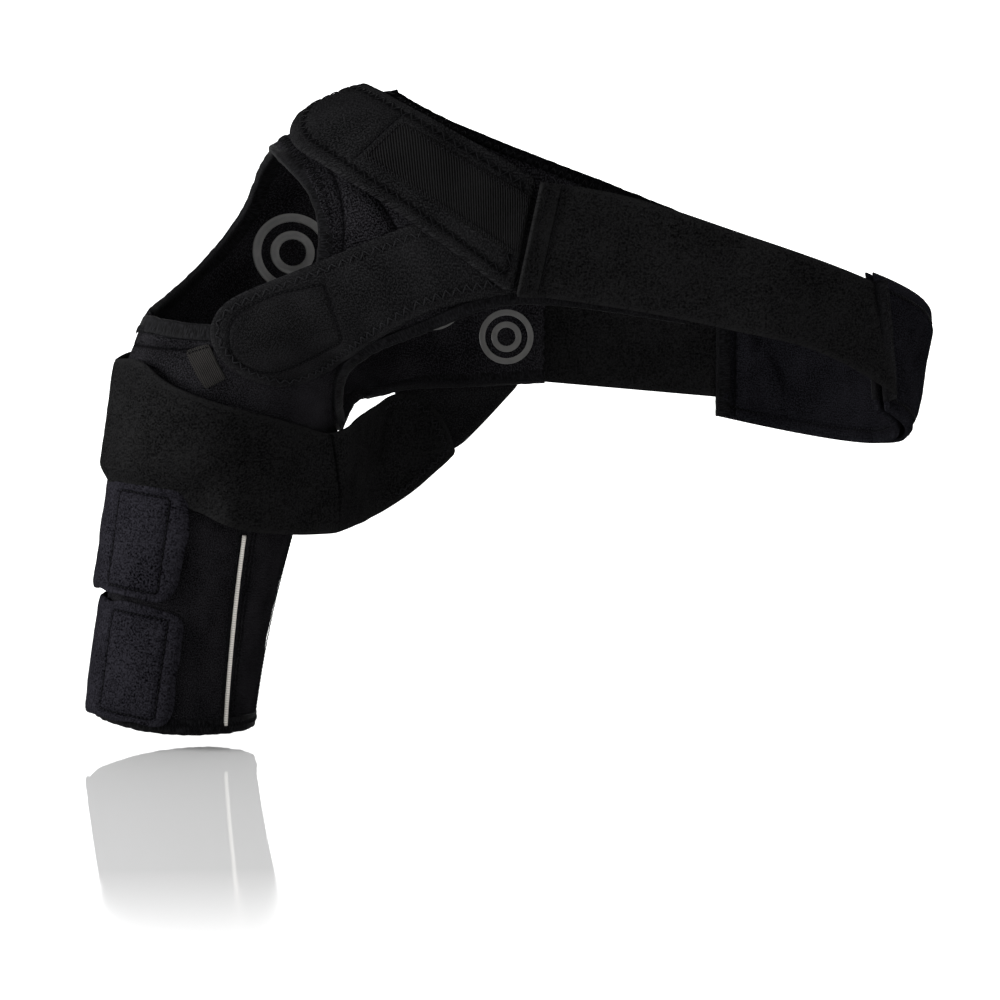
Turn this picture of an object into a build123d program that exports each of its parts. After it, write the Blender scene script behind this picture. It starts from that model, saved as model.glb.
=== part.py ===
"""Shoulder wrap with an upper-arm cuff and an elastic chest loop.

Frame: millimetres, +Z up. The origin is the centre of the arm cuff's lower end, +X runs
across the chest from the wrapped shoulder, and the wearer faces -Y.
"""
from build123d import *
import os
from math import cos, radians, sin

os.makedirs("parts", exist_ok=True)

# ---------------------------------------------------------------- driving dimensions
PANEL = 4.0          # neoprene of the sleeve and the shoulder panels
STRAP = 3.0          # neoprene of the two wings and of the tabs
ELASTIC = 2.5        # woven elastic
HOOK = 0.8           # hook patch on a tab's underside
GAP = 0.2            # clearance between two layers that lie on each other
BINDING = 0.8        # how far an edge binding stands proud of its panel
BINDING_WIDTH = 7.0

ARM_LEAN = 8.2       # degrees, the upper arm leans in towards the body going up
CUFF_RADIUS = 47.0   # inside, an upper arm of about 30 cm round
CUFF_STRAIGHT = 55.0  # the cuff is a true cylinder this far up its axis
SLEEVE_LENGTH = 165.0
SLEEVE_TOP_RADIUS = 54.0
SHELL_REACH = 140.0  # far enough along Y to pass through the whole wrap

# The body inside the wrap, arm to chest: centre x, z, lean of the section, half width, half depth
FORM_SECTIONS = [
    (23.5, 163.3, 8.2, 54, 54),
    (34, 203, 16, 62, 58),
    (50, 233, 32, 66, 66),
    (72, 262, 52, 76, 76),
    (98, 272, 67, 87, 86),
    (125, 278, 78, 97, 93),
    (160, 278, 85, 108, 98),
    (200, 274, 90, 119, 100),
    (312, 262, 90, 131, 100),
]

# The chest loop seen from above: two straight runs joined by a half circle under the far arm
LOOP_FRONT_Y = -113.5
LOOP_BACK_Y = 106.0
LOOP_TURN_X = 340.0
LOOP_START_X = 195.0
LOOP_RADIUS = (LOOP_BACK_Y - LOOP_FRONT_Y) / 2
LOOP_MIDDLE_Y = (LOOP_BACK_Y + LOOP_FRONT_Y) / 2

AXIS = (sin(radians(ARM_LEAN)), 0, cos(radians(ARM_LEAN)))
CUFF_PLANE = Plane(origin=(0, 0, 0), x_dir=(-AXIS[2], 0, AXIS[0]), z_dir=AXIS)
FRONT = Plane.XZ     # sketches on it are seen from the front, and extrude towards -Y


# ---------------------------------------------------------------- shared shapes
def form(offset):
    """The body inside the wrap, grown outwards by offset."""
    with BuildPart() as body:
        for x, z, lean, half_width, half_depth in FORM_SECTIONS:
            outward = (-cos(radians(lean)), 0, sin(radians(lean)))
            along = (sin(radians(lean)), 0, cos(radians(lean)))
            with BuildSketch(Plane(origin=(x, 0, z), x_dir=outward, z_dir=along)):
                Ellipse(half_width + offset, half_depth + offset)
        loft(ruled=True)
    return body.part


def layer(inner, outer):
    """The space between two offsets of the body."""
    with BuildPart() as shell:
        add(form(outer))
        add(form(inner), mode=Mode.SUBTRACT)
    return shell.part


def loop_outline(radius_change):
    """Half a band's outline: the loop's path moved outwards by radius_change."""
    front, back = LOOP_FRONT_Y - radius_change, LOOP_BACK_Y + radius_change
    return [
        (LOOP_START_X, front), (LOOP_TURN_X, front),
        (LOOP_TURN_X + LOOP_RADIUS + radius_change, LOOP_MIDDLE_Y),
        (LOOP_TURN_X, back), (LOOP_START_X, back),
    ]


def loop_band(inner, outer):
    """A tall band that follows the chest loop, between two distances from its path."""
    with BuildPart() as band:
        with BuildSketch(Plane.XY.offset(120)):
            with BuildLine():
                a = loop_outline(outer)
                b = loop_outline(inner)
                Line(a[0], a[1])
                ThreePointArc(a[1], a[2], a[3])
                Line(a[3], a[4])
                Line(a[4], b[4])
                Line(b[4], b[3])
                ThreePointArc(b[3], b[2], b[1])
                Line(b[1], b[0])
                Line(b[0], a[0])
            make_face()
        extrude(amount=260)
    return band.part


def cuff_sector(inner, outer, low, high, start, end):
    """Part of a tube round the cuff's axis. Angles run from the outside of the arm (0)
    over the front (90) to the inside of the arm (180)."""
    def at(radius, angle):
        return (radius * cos(radians(angle)), radius * sin(radians(angle)))

    middle = (start + end) / 2
    with BuildPart() as sector:
        with BuildSketch(CUFF_PLANE.offset(low)):
            with BuildLine():
                ThreePointArc(at(outer, start), at(outer, middle), at(outer, end))
                Line(at(outer, end), at(inner, end))
                ThreePointArc(at(inner, end), at(inner, middle), at(inner, start))
                Line(at(inner, start), at(outer, start))
            make_face()
        extrude(amount=high - low)
    return sector.part


def front_of(points, start=0.0, reach=SHELL_REACH):
    """A straight-sided block seen from the front as points (x, z), from y = -start forwards."""
    with BuildPart() as block:
        with BuildSketch(FRONT.offset(start)):
            with BuildLine():
                Polyline(*points, close=True)
            make_face()
        extrude(amount=reach)
    return block.part


def back_of(points, start=0.0):
    """The same, from y = start backwards."""
    return front_of(points, -start, -SHELL_REACH)


def edge_block(curve, width, forwards):
    """A strip of the given width along an edge seen from the front."""
    with BuildPart() as strip:
        with BuildSketch(FRONT):
            with BuildLine():
                edge = Spline(*curve)
            trace(edge, 2 * width)
        extrude(amount=SHELL_REACH if forwards else -SHELL_REACH)
    return strip.part


# ---------------------------------------------------------------- outlines seen from the front
DELTOID_FRONT = [(-18, 251), (20, 246), (62, 250), (88, 280), (86, 318), (58, 350)]
DELTOID_BACK = [(-18, 251), (13, 282), (38, 315), (50, 340), (58, 350)]
ARMPIT = (97, 186)
FRONT_LOWER = [ARMPIT, (106, 221), (154, 244), (194, 258), (230, 258), (300, 248)]
BACK_LOWER = [ARMPIT, (105, 201), (130, 207), (175, 208), (222, 207)]
NECK_FRONT = [(122, 388), (159, 366), (203, 347), (252, 328), (300, 309)]
NECK_BACK = [(122, 388), (160, 368), (200, 340), (222, 290)]
PANEL_SIDE_X = -70.0
YOKE_REACH = 42.0    # the yoke ends this far in front of and behind the ridge
YOKE = [(40, 330), (140, 330), (140, 400), (40, 400)]


def panel_outline(deltoid, neck, lower, forwards):
    """A shoulder panel's outline, as a tall block."""
    with BuildPart() as block:
        with BuildSketch(FRONT):
            with BuildLine():
                Spline(*deltoid)
                Polyline(deltoid[-1], (deltoid[-1][0], 410), (neck[0][0], 410), neck[0])
                Spline(*neck)
                Line(neck[-1], lower[-1])
                Spline(*lower[::-1])
                Polyline(lower[0], (80, 150), (PANEL_SIDE_X, 150), (PANEL_SIDE_X, 251), deltoid[0])
            make_face()
        extrude(amount=SHELL_REACH if forwards else -SHELL_REACH)
    return block.part


panel_layer = layer(0, PANEL)
binding_layer = layer(-BINDING, PANEL + BINDING)

# ---------------------------------------------------------------- arm sleeve
with BuildPart() as arm_sleeve:
    with BuildSketch(Plane(origin=(0, 0, 0), x_dir=(-AXIS[2], 0, AXIS[0]), z_dir=(0, 1, 0))):
        with BuildLine():
            Polyline(
                (CUFF_RADIUS, 0), (CUFF_RADIUS, CUFF_STRAIGHT),
                (SLEEVE_TOP_RADIUS, SLEEVE_LENGTH - GAP),
                (SLEEVE_TOP_RADIUS + PANEL, SLEEVE_LENGTH - GAP),
                (CUFF_RADIUS + PANEL, CUFF_STRAIGHT), (CUFF_RADIUS + PANEL, 0), close=True,
            )
        make_face()
    revolve(axis=Axis((0, 0, 0), AXIS))
arm_sleeve.part.label = "arm_sleeve"
export_step(arm_sleeve.part, "parts/arm_sleeve.step")

HEM_WIDTH = 9.0
with BuildPart() as sleeve_hem_binding:
    add(cuff_sector(CUFF_RADIUS + PANEL + 0.05, CUFF_RADIUS + PANEL + BINDING, 0, HEM_WIDTH, 0, 359.9))
sleeve_hem_binding.part.label = "sleeve_hem_binding"
export_step(sleeve_hem_binding.part, "parts/sleeve_hem_binding.step")

# A reflective cord let into the seam on the front of the sleeve
PIPING_RADIUS = 1.3
PIPING_LOW = (37.2, -38.4, 9.0)
PIPING_HIGH = (47.6, -50.0, 122.0)
with BuildPart() as reflective_piping:
    run = Vector(*PIPING_HIGH) - Vector(*PIPING_LOW)
    with BuildSketch(Plane(origin=PIPING_LOW, z_dir=run.normalized())):
        Circle(PIPING_RADIUS)
    extrude(amount=run.length)
reflective_piping.part.label = "reflective_piping"
export_step(reflective_piping.part, "parts/reflective_piping.step")

# ---------------------------------------------------------------- shoulder panels
deltoid_edges = [edge_block(DELTOID_FRONT, BINDING_WIDTH, True),
                 edge_block(DELTOID_BACK, BINDING_WIDTH, False)]
front_edges = [deltoid_edges[0], edge_block(NECK_FRONT, BINDING_WIDTH, True),
               edge_block(FRONT_LOWER, BINDING_WIDTH, True)]
back_edges = [deltoid_edges[1], edge_block(NECK_BACK, BINDING_WIDTH, False),
              edge_block(BACK_LOWER, BINDING_WIDTH, False)]
front_outline = panel_outline(DELTOID_FRONT, NECK_FRONT, FRONT_LOWER, True)
back_outline = panel_outline(DELTOID_BACK, NECK_BACK, BACK_LOWER, False)

with BuildPart() as yoke_space:
    add(front_of(YOKE, reach=YOKE_REACH))
    add(front_of(YOKE, reach=-YOKE_REACH))

with BuildPart() as whole_outline:
    add(front_outline)
    add(back_outline)

with BuildPart() as front_panel:
    add(panel_layer)
    add(front_outline, mode=Mode.INTERSECT)
    add(front_edges, mode=Mode.SUBTRACT)
    add(yoke_space.part, mode=Mode.SUBTRACT)
front_panel.part.label = "front_panel"
export_step(front_panel.part, "parts/front_panel.step")

with BuildPart() as back_panel:
    add(panel_layer)
    add(back_outline, mode=Mode.INTERSECT)
    add(back_edges, mode=Mode.SUBTRACT)
    add(yoke_space.part, mode=Mode.SUBTRACT)
back_panel.part.label = "back_panel"
export_step(back_panel.part, "parts/back_panel.step")

with BuildPart() as shoulder_yoke:
    add(panel_layer)
    add(whole_outline.part, mode=Mode.INTERSECT)
    add(yoke_space.part, mode=Mode.INTERSECT)
    add(front_edges + back_edges, mode=Mode.SUBTRACT)
shoulder_yoke.part.label = "shoulder_yoke"
export_step(shoulder_yoke.part, "parts/shoulder_yoke.step")

# Bound edges, wrapped over the neoprene's cut edge
with BuildPart() as deltoid_binding:
    add(binding_layer)
    add(whole_outline.part, mode=Mode.INTERSECT)
    add(deltoid_edges, mode=Mode.INTERSECT)
deltoid_binding.part.label = "deltoid_binding"
export_step(deltoid_binding.part, "parts/deltoid_binding.step")

with BuildPart() as neck_binding:
    add(binding_layer)
    add(whole_outline.part, mode=Mode.INTERSECT)
    add([front_edges[1], back_edges[1]], mode=Mode.INTERSECT)
neck_binding.part.label = "neck_binding"
export_step(neck_binding.part, "parts/neck_binding.step")

with BuildPart() as front_lower_binding:
    add(binding_layer)
    add(front_outline, mode=Mode.INTERSECT)
    add(front_edges[2], mode=Mode.INTERSECT)
front_lower_binding.part.label = "front_lower_binding"
export_step(front_lower_binding.part, "parts/front_lower_binding.step")

with BuildPart() as back_lower_binding:
    add(binding_layer)
    add(back_outline, mode=Mode.INTERSECT)
    add(back_edges[2], mode=Mode.INTERSECT)
back_lower_binding.part.label = "back_lower_binding"
export_step(back_lower_binding.part, "parts/back_lower_binding.step")

# Silicone grip prints on the inside of the back panel: plain rings round a dot
PRINT_HEIGHT = 0.5
PRINTS = {"grip_print_shoulder": (66, 290, 24), "grip_print_middle": (152, 262, 20),
          "grip_print_tip": (198, 238, 17)}
print_layer = layer(-PRINT_HEIGHT, -0.05)
for print_name, (x, z, radius) in PRINTS.items():
    with BuildPart() as grip_print:
        with BuildSketch(FRONT):
            with Locations((x, z)):
                Circle(radius)
                Circle(0.78 * radius, mode=Mode.SUBTRACT)
                Circle(0.56 * radius)
                Circle(0.34 * radius, mode=Mode.SUBTRACT)
        extrude(amount=-SHELL_REACH)
        add(print_layer, mode=Mode.INTERSECT)
    grip_print.part.label = print_name
    export_step(grip_print.part, f"parts/{print_name}.step")

# Woven label on the front panel, partly under the lower wing
LABEL = [(10.5, 231), (25, 235.5), (35, 215), (22.5, 208.5)]
with BuildPart() as woven_label:
    add(layer(PANEL + 0.05, PANEL + 0.75))
    add(front_of(LABEL), mode=Mode.INTERSECT)
woven_label.part.label = "woven_label"
export_step(woven_label.part, "parts/woven_label.step")

# ---------------------------------------------------------------- cuff straps
# Each wraps the outside of the arm and ends in a tab that peels open from the front.
# low and high are heights up the cuff's axis; the tab turns about a line on the arm's outside.
CUFF_STRAPS = {"lower": (8.0, 78.0, 53.3, 89.0), "upper": (82.0, 149.0, 58.0, 84.0)}
BACK_ANGLE = -96.0
TAB_CORNER = 16.0
HOOK_INSET = 9.0         # the hook patch stops this far inside the tab's edges
HOOK_ARC = 49.0
for place, (low, high, radius, tab_angle) in CUFF_STRAPS.items():
    tab_inner = radius + HOOK + GAP
    with BuildPart() as cuff_strap:
        add(cuff_sector(tab_inner, tab_inner + STRAP, low, high, BACK_ANGLE, -1.0))
    cuff_strap.part.label = f"{place}_cuff_strap"
    export_step(cuff_strap.part, f"parts/{place}_cuff_strap.step")

    with BuildPart() as cuff_tab:
        add(cuff_sector(tab_inner, tab_inner + STRAP, low, high, 0.0, tab_angle))
        corners = cuff_tab.edges().filter_by(
            lambda edge: edge.geom_type == GeomType.LINE and edge.length < STRAP + 0.1
        ).sort_by(Axis.X)[-2:]
        fillet(corners, TAB_CORNER)
    cuff_tab.part.label = f"{place}_cuff_tab"
    export_step(cuff_tab.part, f"parts/{place}_cuff_tab.step")

    with BuildPart() as cuff_tab_hook:
        add(cuff_sector(radius, radius + HOOK, low + HOOK_INSET, high - HOOK_INSET,
                        tab_angle - HOOK_INSET - HOOK_ARC, tab_angle - HOOK_INSET))
    cuff_tab_hook.part.label = f"{place}_cuff_tab_hook"
    export_step(cuff_tab_hook.part, f"parts/{place}_cuff_tab_hook.step")

# ---------------------------------------------------------------- arm strap
# Elastic from the back of the arm over its front, then under the armpit to a flap on the
# back panel. Its plan view is drawn ARM_STRAP_LEVEL up the leaning arm.
ARM_STRAP_LEVEL = 100.0
ARM_STRAP_X = ARM_STRAP_LEVEL * AXIS[0] / AXIS[2]
ARM_STRAP_RADIUS = 67.4
ARM_STRAP_THICKNESS = 2.4
ARM_STRAP_BACK_Y = 104.6
ARM_LEAVE_ANGLE = -50.0  # where it leaves the arm, from +X towards the back
ARM_START_ANGLE = 100.0
ARM_TAB_X = 136.5        # where the tab hinges
ARM_STRAP_FRONT = [
    (-60, 232), (-50, 226), (-17, 225), (0, 213), (24, 203), (54, 194), (75, 187), (93, 182),
    (130, 182), (130, 124), (97, 124), (73, 123), (45, 127), (36, 131), (28, 141), (21, 155),
    (-60, 158),
]
ARM_STRAP_BACK = [
    (-60, 232), (-50, 226), (-30, 231), (30, 240), (90, 182), (93, 182), (122, 199),
    (ARM_TAB_X, 203), (ARM_TAB_X, 144), (130, 139), (109, 128), (97, 124), (80, 124),
    (30, 168), (-60, 158),
]
ARM_TAB = [
    (ARM_TAB_X + 0.5, 203), (146, 199), (156, 190), (163, 177), (166, 165), (154, 156),
    (ARM_TAB_X + 0.5, 144.3),
]
ARM_FLAP = [
    (128, 232), (128, 182), (138, 169), (152, 163), (168, 168), (184, 184), (206, 208), (206, 232),
]


def arm_strap_plan(shift):
    """The arm strap's line seen from above, moved outwards by shift."""
    radius = ARM_STRAP_RADIUS + shift

    def on_arm(angle):
        return (ARM_STRAP_X + radius * cos(radians(angle)), radius * sin(radians(angle)))

    leave = on_arm(ARM_LEAVE_ANGLE)
    with BuildLine() as line:
        ThreePointArc(on_arm(ARM_START_ANGLE), on_arm(-155), leave)
        FilletPolyline(
            leave, (92 + 1.1 * shift, -20.5 - 0.4 * shift),
            (112 + 0.85 * shift, ARM_STRAP_BACK_Y - shift), (164, ARM_STRAP_BACK_Y - shift),
            radius=[30 + shift, 18 + shift],
        )
    return line.line


with BuildPart() as arm_strap_band:
    with BuildSketch(Plane.XY.offset(ARM_STRAP_LEVEL)):
        with BuildLine():
            outer_line = arm_strap_plan(ARM_STRAP_THICKNESS / 2)
            inner_line = arm_strap_plan(-ARM_STRAP_THICKNESS / 2)
            add(outer_line)
            add(inner_line)
            Line(outer_line @ 0, inner_line @ 0)
            Line(outer_line @ 1, inner_line @ 1)
        make_face()
    extrude(amount=150, dir=AXIS)

with BuildPart() as arm_strap_outline:
    add(front_of(ARM_STRAP_FRONT))
    add(back_of(ARM_STRAP_BACK))

with BuildPart() as arm_strap:
    add(arm_strap_band.part)
    add(arm_strap_outline.part, mode=Mode.INTERSECT)
arm_strap.part.label = "arm_strap"
export_step(arm_strap.part, "parts/arm_strap.step")

with BuildPart() as arm_strap_tab:
    add(arm_strap_band.part)
    add(back_of(ARM_TAB, 60), mode=Mode.INTERSECT)
arm_strap_tab.part.label = "arm_strap_tab"
export_step(arm_strap_tab.part, "parts/arm_strap_tab.step")

ARM_HOOK_Y = ARM_STRAP_BACK_Y + ARM_STRAP_THICKNESS / 2 + 0.1
ARM_HOOK_WIDTH = 16.0
ARM_HOOK_HEIGHT = 26.0
with BuildPart() as arm_strap_tab_hook:
    with BuildSketch(FRONT.offset(-ARM_HOOK_Y)):
        with Locations((149, 175)):
            RectangleRounded(ARM_HOOK_WIDTH, ARM_HOOK_HEIGHT, 4)
    extrude(amount=-HOOK)
arm_strap_tab_hook.part.label = "arm_strap_tab_hook"
export_step(arm_strap_tab_hook.part, "parts/arm_strap_tab_hook.step")

ARM_FLAP_Y = ARM_HOOK_Y + HOOK + GAP
with BuildPart() as arm_strap_flap:
    with BuildSketch(FRONT.offset(-ARM_FLAP_Y)):
        with BuildLine():
            Polyline(*ARM_FLAP, close=True)
        make_face()
    extrude(amount=-STRAP)
arm_strap_flap.part.label = "arm_strap_flap"
export_step(arm_strap_flap.part, "parts/arm_strap_flap.step")

# ---------------------------------------------------------------- wings
# Two neoprene wings fan out from the chest elastic and hook on to the front panel. The lower
# one lies on the panel; the upper one crosses over it and reaches the top of the shoulder.
LOWER_WING = PANEL + BINDING + HOOK + 2 * GAP
UPPER_WING = LOWER_WING + STRAP + HOOK + 2 * GAP
WEBBING = 0.8
LOWER_FOLD = [(137.0, 302.0), (152.6, 253.5)]   # where the lower wing bends when it peels
UPPER_FOLD = [(214.5, 328.0), (201.0, 263.0)]   # where the upper wing does, at the elastic
RIDGE_CLEARANCE = 4.0

with BuildPart() as lower_wing_outline:
    with BuildSketch(FRONT):
        with BuildLine():
            Spline((39, 263), (24.5, 247), (30, 228), (50, 213), (72, 210), (92, 218))
            Line((92, 218), LOWER_FOLD[1])
            Line(LOWER_FOLD[1], LOWER_FOLD[0])
            Line(LOWER_FOLD[0], (39, 263))
        make_face()
    extrude(amount=SHELL_REACH)

with BuildPart() as lower_wing_tab:
    add(layer(LOWER_WING, LOWER_WING + STRAP))
    add(lower_wing_outline.part, mode=Mode.INTERSECT)
lower_wing_tab.part.label = "lower_wing_tab"
export_step(lower_wing_tab.part, "parts/lower_wing_tab.step")

LOWER_HOOK = [(45, 256), (33, 246), (38, 230), (52, 219), (72, 217), (108, 232), (95, 279)]
with BuildPart() as lower_wing_hook:
    add(layer(LOWER_WING - HOOK - GAP / 2, LOWER_WING - GAP / 2))
    add(front_of(LOWER_HOOK), mode=Mode.INTERSECT)
lower_wing_hook.part.label = "lower_wing_hook"
export_step(lower_wing_hook.part, "parts/lower_wing_hook.step")

JUNCTION = [(138.2, 302.4), (153.8, 253.9), (203, 265), (256, 257), (262, 300), (216, 318), (170, 312)]
with BuildPart() as strap_junction:
    add(layer(LOWER_WING, LOWER_WING + STRAP))
    add(front_of(JUNCTION), mode=Mode.INTERSECT)
strap_junction.part.label = "strap_junction"
export_step(strap_junction.part, "parts/strap_junction.step")

UPPER_WING_OUTLINE = [
    UPPER_FOLD[1], (136.6, 310), (72, 351), (66, 362), (76, 380), (98, 395), (121.6, 390),
    (160, 366), UPPER_FOLD[0],
]
with BuildPart() as upper_wing_tab:
    add(layer(UPPER_WING, UPPER_WING + STRAP))
    add(front_of(UPPER_WING_OUTLINE, RIDGE_CLEARANCE), mode=Mode.INTERSECT)
upper_wing_tab.part.label = "upper_wing_tab"
export_step(upper_wing_tab.part, "parts/upper_wing_tab.step")

UPPER_HOOK = [(118, 338), (82, 357), (80, 376), (98, 390), (118, 384), (140, 367)]
with BuildPart() as upper_wing_hook:
    add(layer(UPPER_WING - HOOK - GAP / 2, UPPER_WING - GAP / 2))
    add(front_of(UPPER_HOOK, RIDGE_CLEARANCE + 2), mode=Mode.INTERSECT)
upper_wing_hook.part.label = "upper_wing_hook"
export_step(upper_wing_hook.part, "parts/upper_wing_hook.step")

# Ribbed webbing sewn on the upper wing, between its hook end and the elastic
UPPER_WEBBING = [(199, 274), (120, 326), (137, 362), (158, 357), (210, 318)]
with BuildPart() as upper_wing_webbing:
    add(layer(UPPER_WING + STRAP + GAP / 2, UPPER_WING + STRAP + GAP / 2 + WEBBING))
    add(front_of(UPPER_WEBBING), mode=Mode.INTERSECT)
upper_wing_webbing.part.label = "upper_wing_webbing"
export_step(upper_wing_webbing.part, "parts/upper_wing_webbing.step")

# ---------------------------------------------------------------- chest loop
SLOT = [(407.0, 272.0), (422.0, 206.0)]         # the front elastic goes into the pad here
FRONT_ELASTIC = [
    (217, 328), (203, 263), (219, 262), (285, 252), (328, 243), (371, 233),
    (SLOT[1][0] - 1, SLOT[1][1]), (SLOT[0][0] - 1, SLOT[0][1]), (340, 297), (275, 318),
]
ELASTIC_FOLD = [(217, 328), (203, 263), (212, 262.5), (226, 325.5)]
BACK_SEAM_X = 222.5
PAD_BACK_X = 330.0
PAD_HEIGHT = 75.0
PAD_LAYER = 3.6
PAD_CENTRE = (450, 0, 215.5)
PAD_SLOPE = (0.224, 0.158, 1)   # normal of the plane that the pad's middle line lies in
HALF = ELASTIC / 2

with BuildPart() as front_elastic:
    add(loop_band(-HALF, HALF))
    add(front_of(FRONT_ELASTIC), mode=Mode.INTERSECT)
front_elastic.part.label = "front_elastic"
export_step(front_elastic.part, "parts/front_elastic.step")

with BuildPart() as front_elastic_fold:
    add(loop_band(HALF + GAP / 2, HALF + GAP / 2 + ELASTIC))
    add(front_of(ELASTIC_FOLD), mode=Mode.INTERSECT)
front_elastic_fold.part.label = "front_elastic_fold"
export_step(front_elastic_fold.part, "parts/front_elastic_fold.step")


def sloping_slab(height):
    """A slab about the plane that the pad's middle line lies in."""
    with BuildPart() as slab:
        with BuildSketch(Plane(origin=PAD_CENTRE, z_dir=PAD_SLOPE)):
            Rectangle(700, 700)
        extrude(amount=height / 2, both=True)
    return slab.part


PAST_PAD_X = LOOP_TURN_X + LOOP_RADIUS + 20


def past_slot(shift):
    """Everything on the pad's side of the slot in front, and past PAD_BACK_X behind."""
    with BuildPart() as space:
        add(front_of([(SLOT[0][0] + shift, SLOT[0][1]), (SLOT[1][0] + shift, SLOT[1][1]),
                      (SLOT[1][0] + shift + 13, 150), (PAST_PAD_X, 150), (PAST_PAD_X, 310),
                      (SLOT[0][0] + shift - 8.6, 310)]))
        add(back_of([(PAD_BACK_X + shift, 130), (PAD_BACK_X + shift, 310),
                     (PAST_PAD_X, 310), (PAST_PAD_X, 130)]))
    return space.part


# The elastic goes on inside the pad and along the back to the back panel
REAR_ELASTIC = [
    (BACK_SEAM_X + 0.5, 210), (LOOP_TURN_X, 194), (LOOP_TURN_X, 259), (BACK_SEAM_X + 0.5, 276),
]
REAR_ELASTIC_WIDTH = 64.0
with BuildPart() as rear_elastic:
    add(sloping_slab(REAR_ELASTIC_WIDTH))
    add(past_slot(LOOP_TURN_X - PAD_BACK_X), mode=Mode.INTERSECT)
    add(back_of(REAR_ELASTIC, 20))
    add(loop_band(-HALF, HALF), mode=Mode.INTERSECT)
    add(front_of([(400, 310), (SLOT[0][0] + 0.5, 310), (SLOT[1][0] + 0.5, 150), (400, 150)]),
        mode=Mode.SUBTRACT)
rear_elastic.part.label = "rear_elastic"
export_step(rear_elastic.part, "parts/rear_elastic.step")

with BuildPart() as rear_elastic_seam:
    add(loop_band(-HALF, HALF))
    add(back_of([(206, 212), (BACK_SEAM_X - 0.5, 210), (BACK_SEAM_X - 0.5, 276), (206, 278)]),
        mode=Mode.INTERSECT)
rear_elastic_seam.part.label = "rear_elastic_seam"
export_step(rear_elastic_seam.part, "parts/rear_elastic_seam.step")

PAD_EDGE = 8.0
PAD_CLEAR = HALF + GAP
pad_slab = sloping_slab(PAD_HEIGHT)
pad_space = past_slot(PAD_EDGE)
pad_rim = past_slot(0)

with BuildPart() as pad_outer:
    add(loop_band(PAD_CLEAR, PAD_CLEAR + PAD_LAYER))
    add(pad_slab, mode=Mode.INTERSECT)
    add(pad_space, mode=Mode.INTERSECT)
pad_outer.part.label = "pad_outer"
export_step(pad_outer.part, "parts/pad_outer.step")

with BuildPart() as pad_inner:
    add(loop_band(-PAD_CLEAR - PAD_LAYER, -PAD_CLEAR))
    add(pad_slab, mode=Mode.INTERSECT)
    add(pad_space, mode=Mode.INTERSECT)
pad_inner.part.label = "pad_inner"
export_step(pad_inner.part, "parts/pad_inner.step")

# Bound mouths of the pad's tunnel, at the front slot and at the back
with BuildPart() as pad_mouths:
    add(loop_band(PAD_CLEAR, PAD_CLEAR + PAD_LAYER + BINDING))
    add(loop_band(-PAD_CLEAR - PAD_LAYER - BINDING, -PAD_CLEAR))
    add(pad_slab, mode=Mode.INTERSECT)
    add(pad_rim, mode=Mode.INTERSECT)
    add(pad_space, mode=Mode.SUBTRACT)
for pad_name, pad_side in (("pad_front_binding", front_of), ("pad_back_binding", back_of)):
    with BuildPart() as pad_binding:
        add(pad_mouths.part)
        add(pad_side([(300, 100), (480, 100), (480, 320), (300, 320)]), mode=Mode.INTERSECT)
    pad_binding.part.label = pad_name
    export_step(pad_binding.part, f"parts/{pad_name}.step")
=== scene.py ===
"""Looks of a neoprene shoulder wrap with an arm cuff and an elastic chest loop.

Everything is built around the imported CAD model, in its frame: +Z up, +X across the chest from
the wrapped shoulder, the wearer faces -Y. Lengths here are in millimetres and turn into metres
in make(); angles are in degrees unless a name says otherwise.

A piece of cloth is cut out in the flat, as triangles inside an outline, and a place function
then lays it on the body, round the cuff, along the arm strap or along the chest loop.
"""
import math

import bpy
import numpy as np
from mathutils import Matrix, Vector, kdtree, noise
from mathutils.geometry import delaunay_2d_cdt


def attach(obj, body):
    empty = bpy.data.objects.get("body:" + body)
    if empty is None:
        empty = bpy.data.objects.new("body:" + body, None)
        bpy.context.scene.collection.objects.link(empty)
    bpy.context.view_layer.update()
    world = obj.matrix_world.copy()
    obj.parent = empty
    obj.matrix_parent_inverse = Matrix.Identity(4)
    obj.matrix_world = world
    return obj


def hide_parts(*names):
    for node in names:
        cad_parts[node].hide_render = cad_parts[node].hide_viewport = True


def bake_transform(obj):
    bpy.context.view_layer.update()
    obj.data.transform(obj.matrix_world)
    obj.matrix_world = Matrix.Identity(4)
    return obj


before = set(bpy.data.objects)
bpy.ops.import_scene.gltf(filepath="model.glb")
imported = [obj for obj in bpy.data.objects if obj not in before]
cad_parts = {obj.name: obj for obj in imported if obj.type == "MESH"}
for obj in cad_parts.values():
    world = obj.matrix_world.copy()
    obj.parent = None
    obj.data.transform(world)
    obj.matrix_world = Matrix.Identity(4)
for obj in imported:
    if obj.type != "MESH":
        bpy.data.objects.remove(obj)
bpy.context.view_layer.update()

MM = 0.001
MM2_IN_CM2 = 0.01

# ------------------------------------------------------------------ sizes, as in the CAD model
PANEL = 4.0
STRAP = 3.0
ELASTIC = 2.5
BINDING = 0.8
BINDING_WIDTH = 7.0
BOUND_EDGE = PANEL + 2 * BINDING
ARM_LEAN = 8.2
CUFF_STRAIGHT = 55.0
AXIS = np.array([math.sin(math.radians(ARM_LEAN)), 0.0, math.cos(math.radians(ARM_LEAN))])

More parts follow.
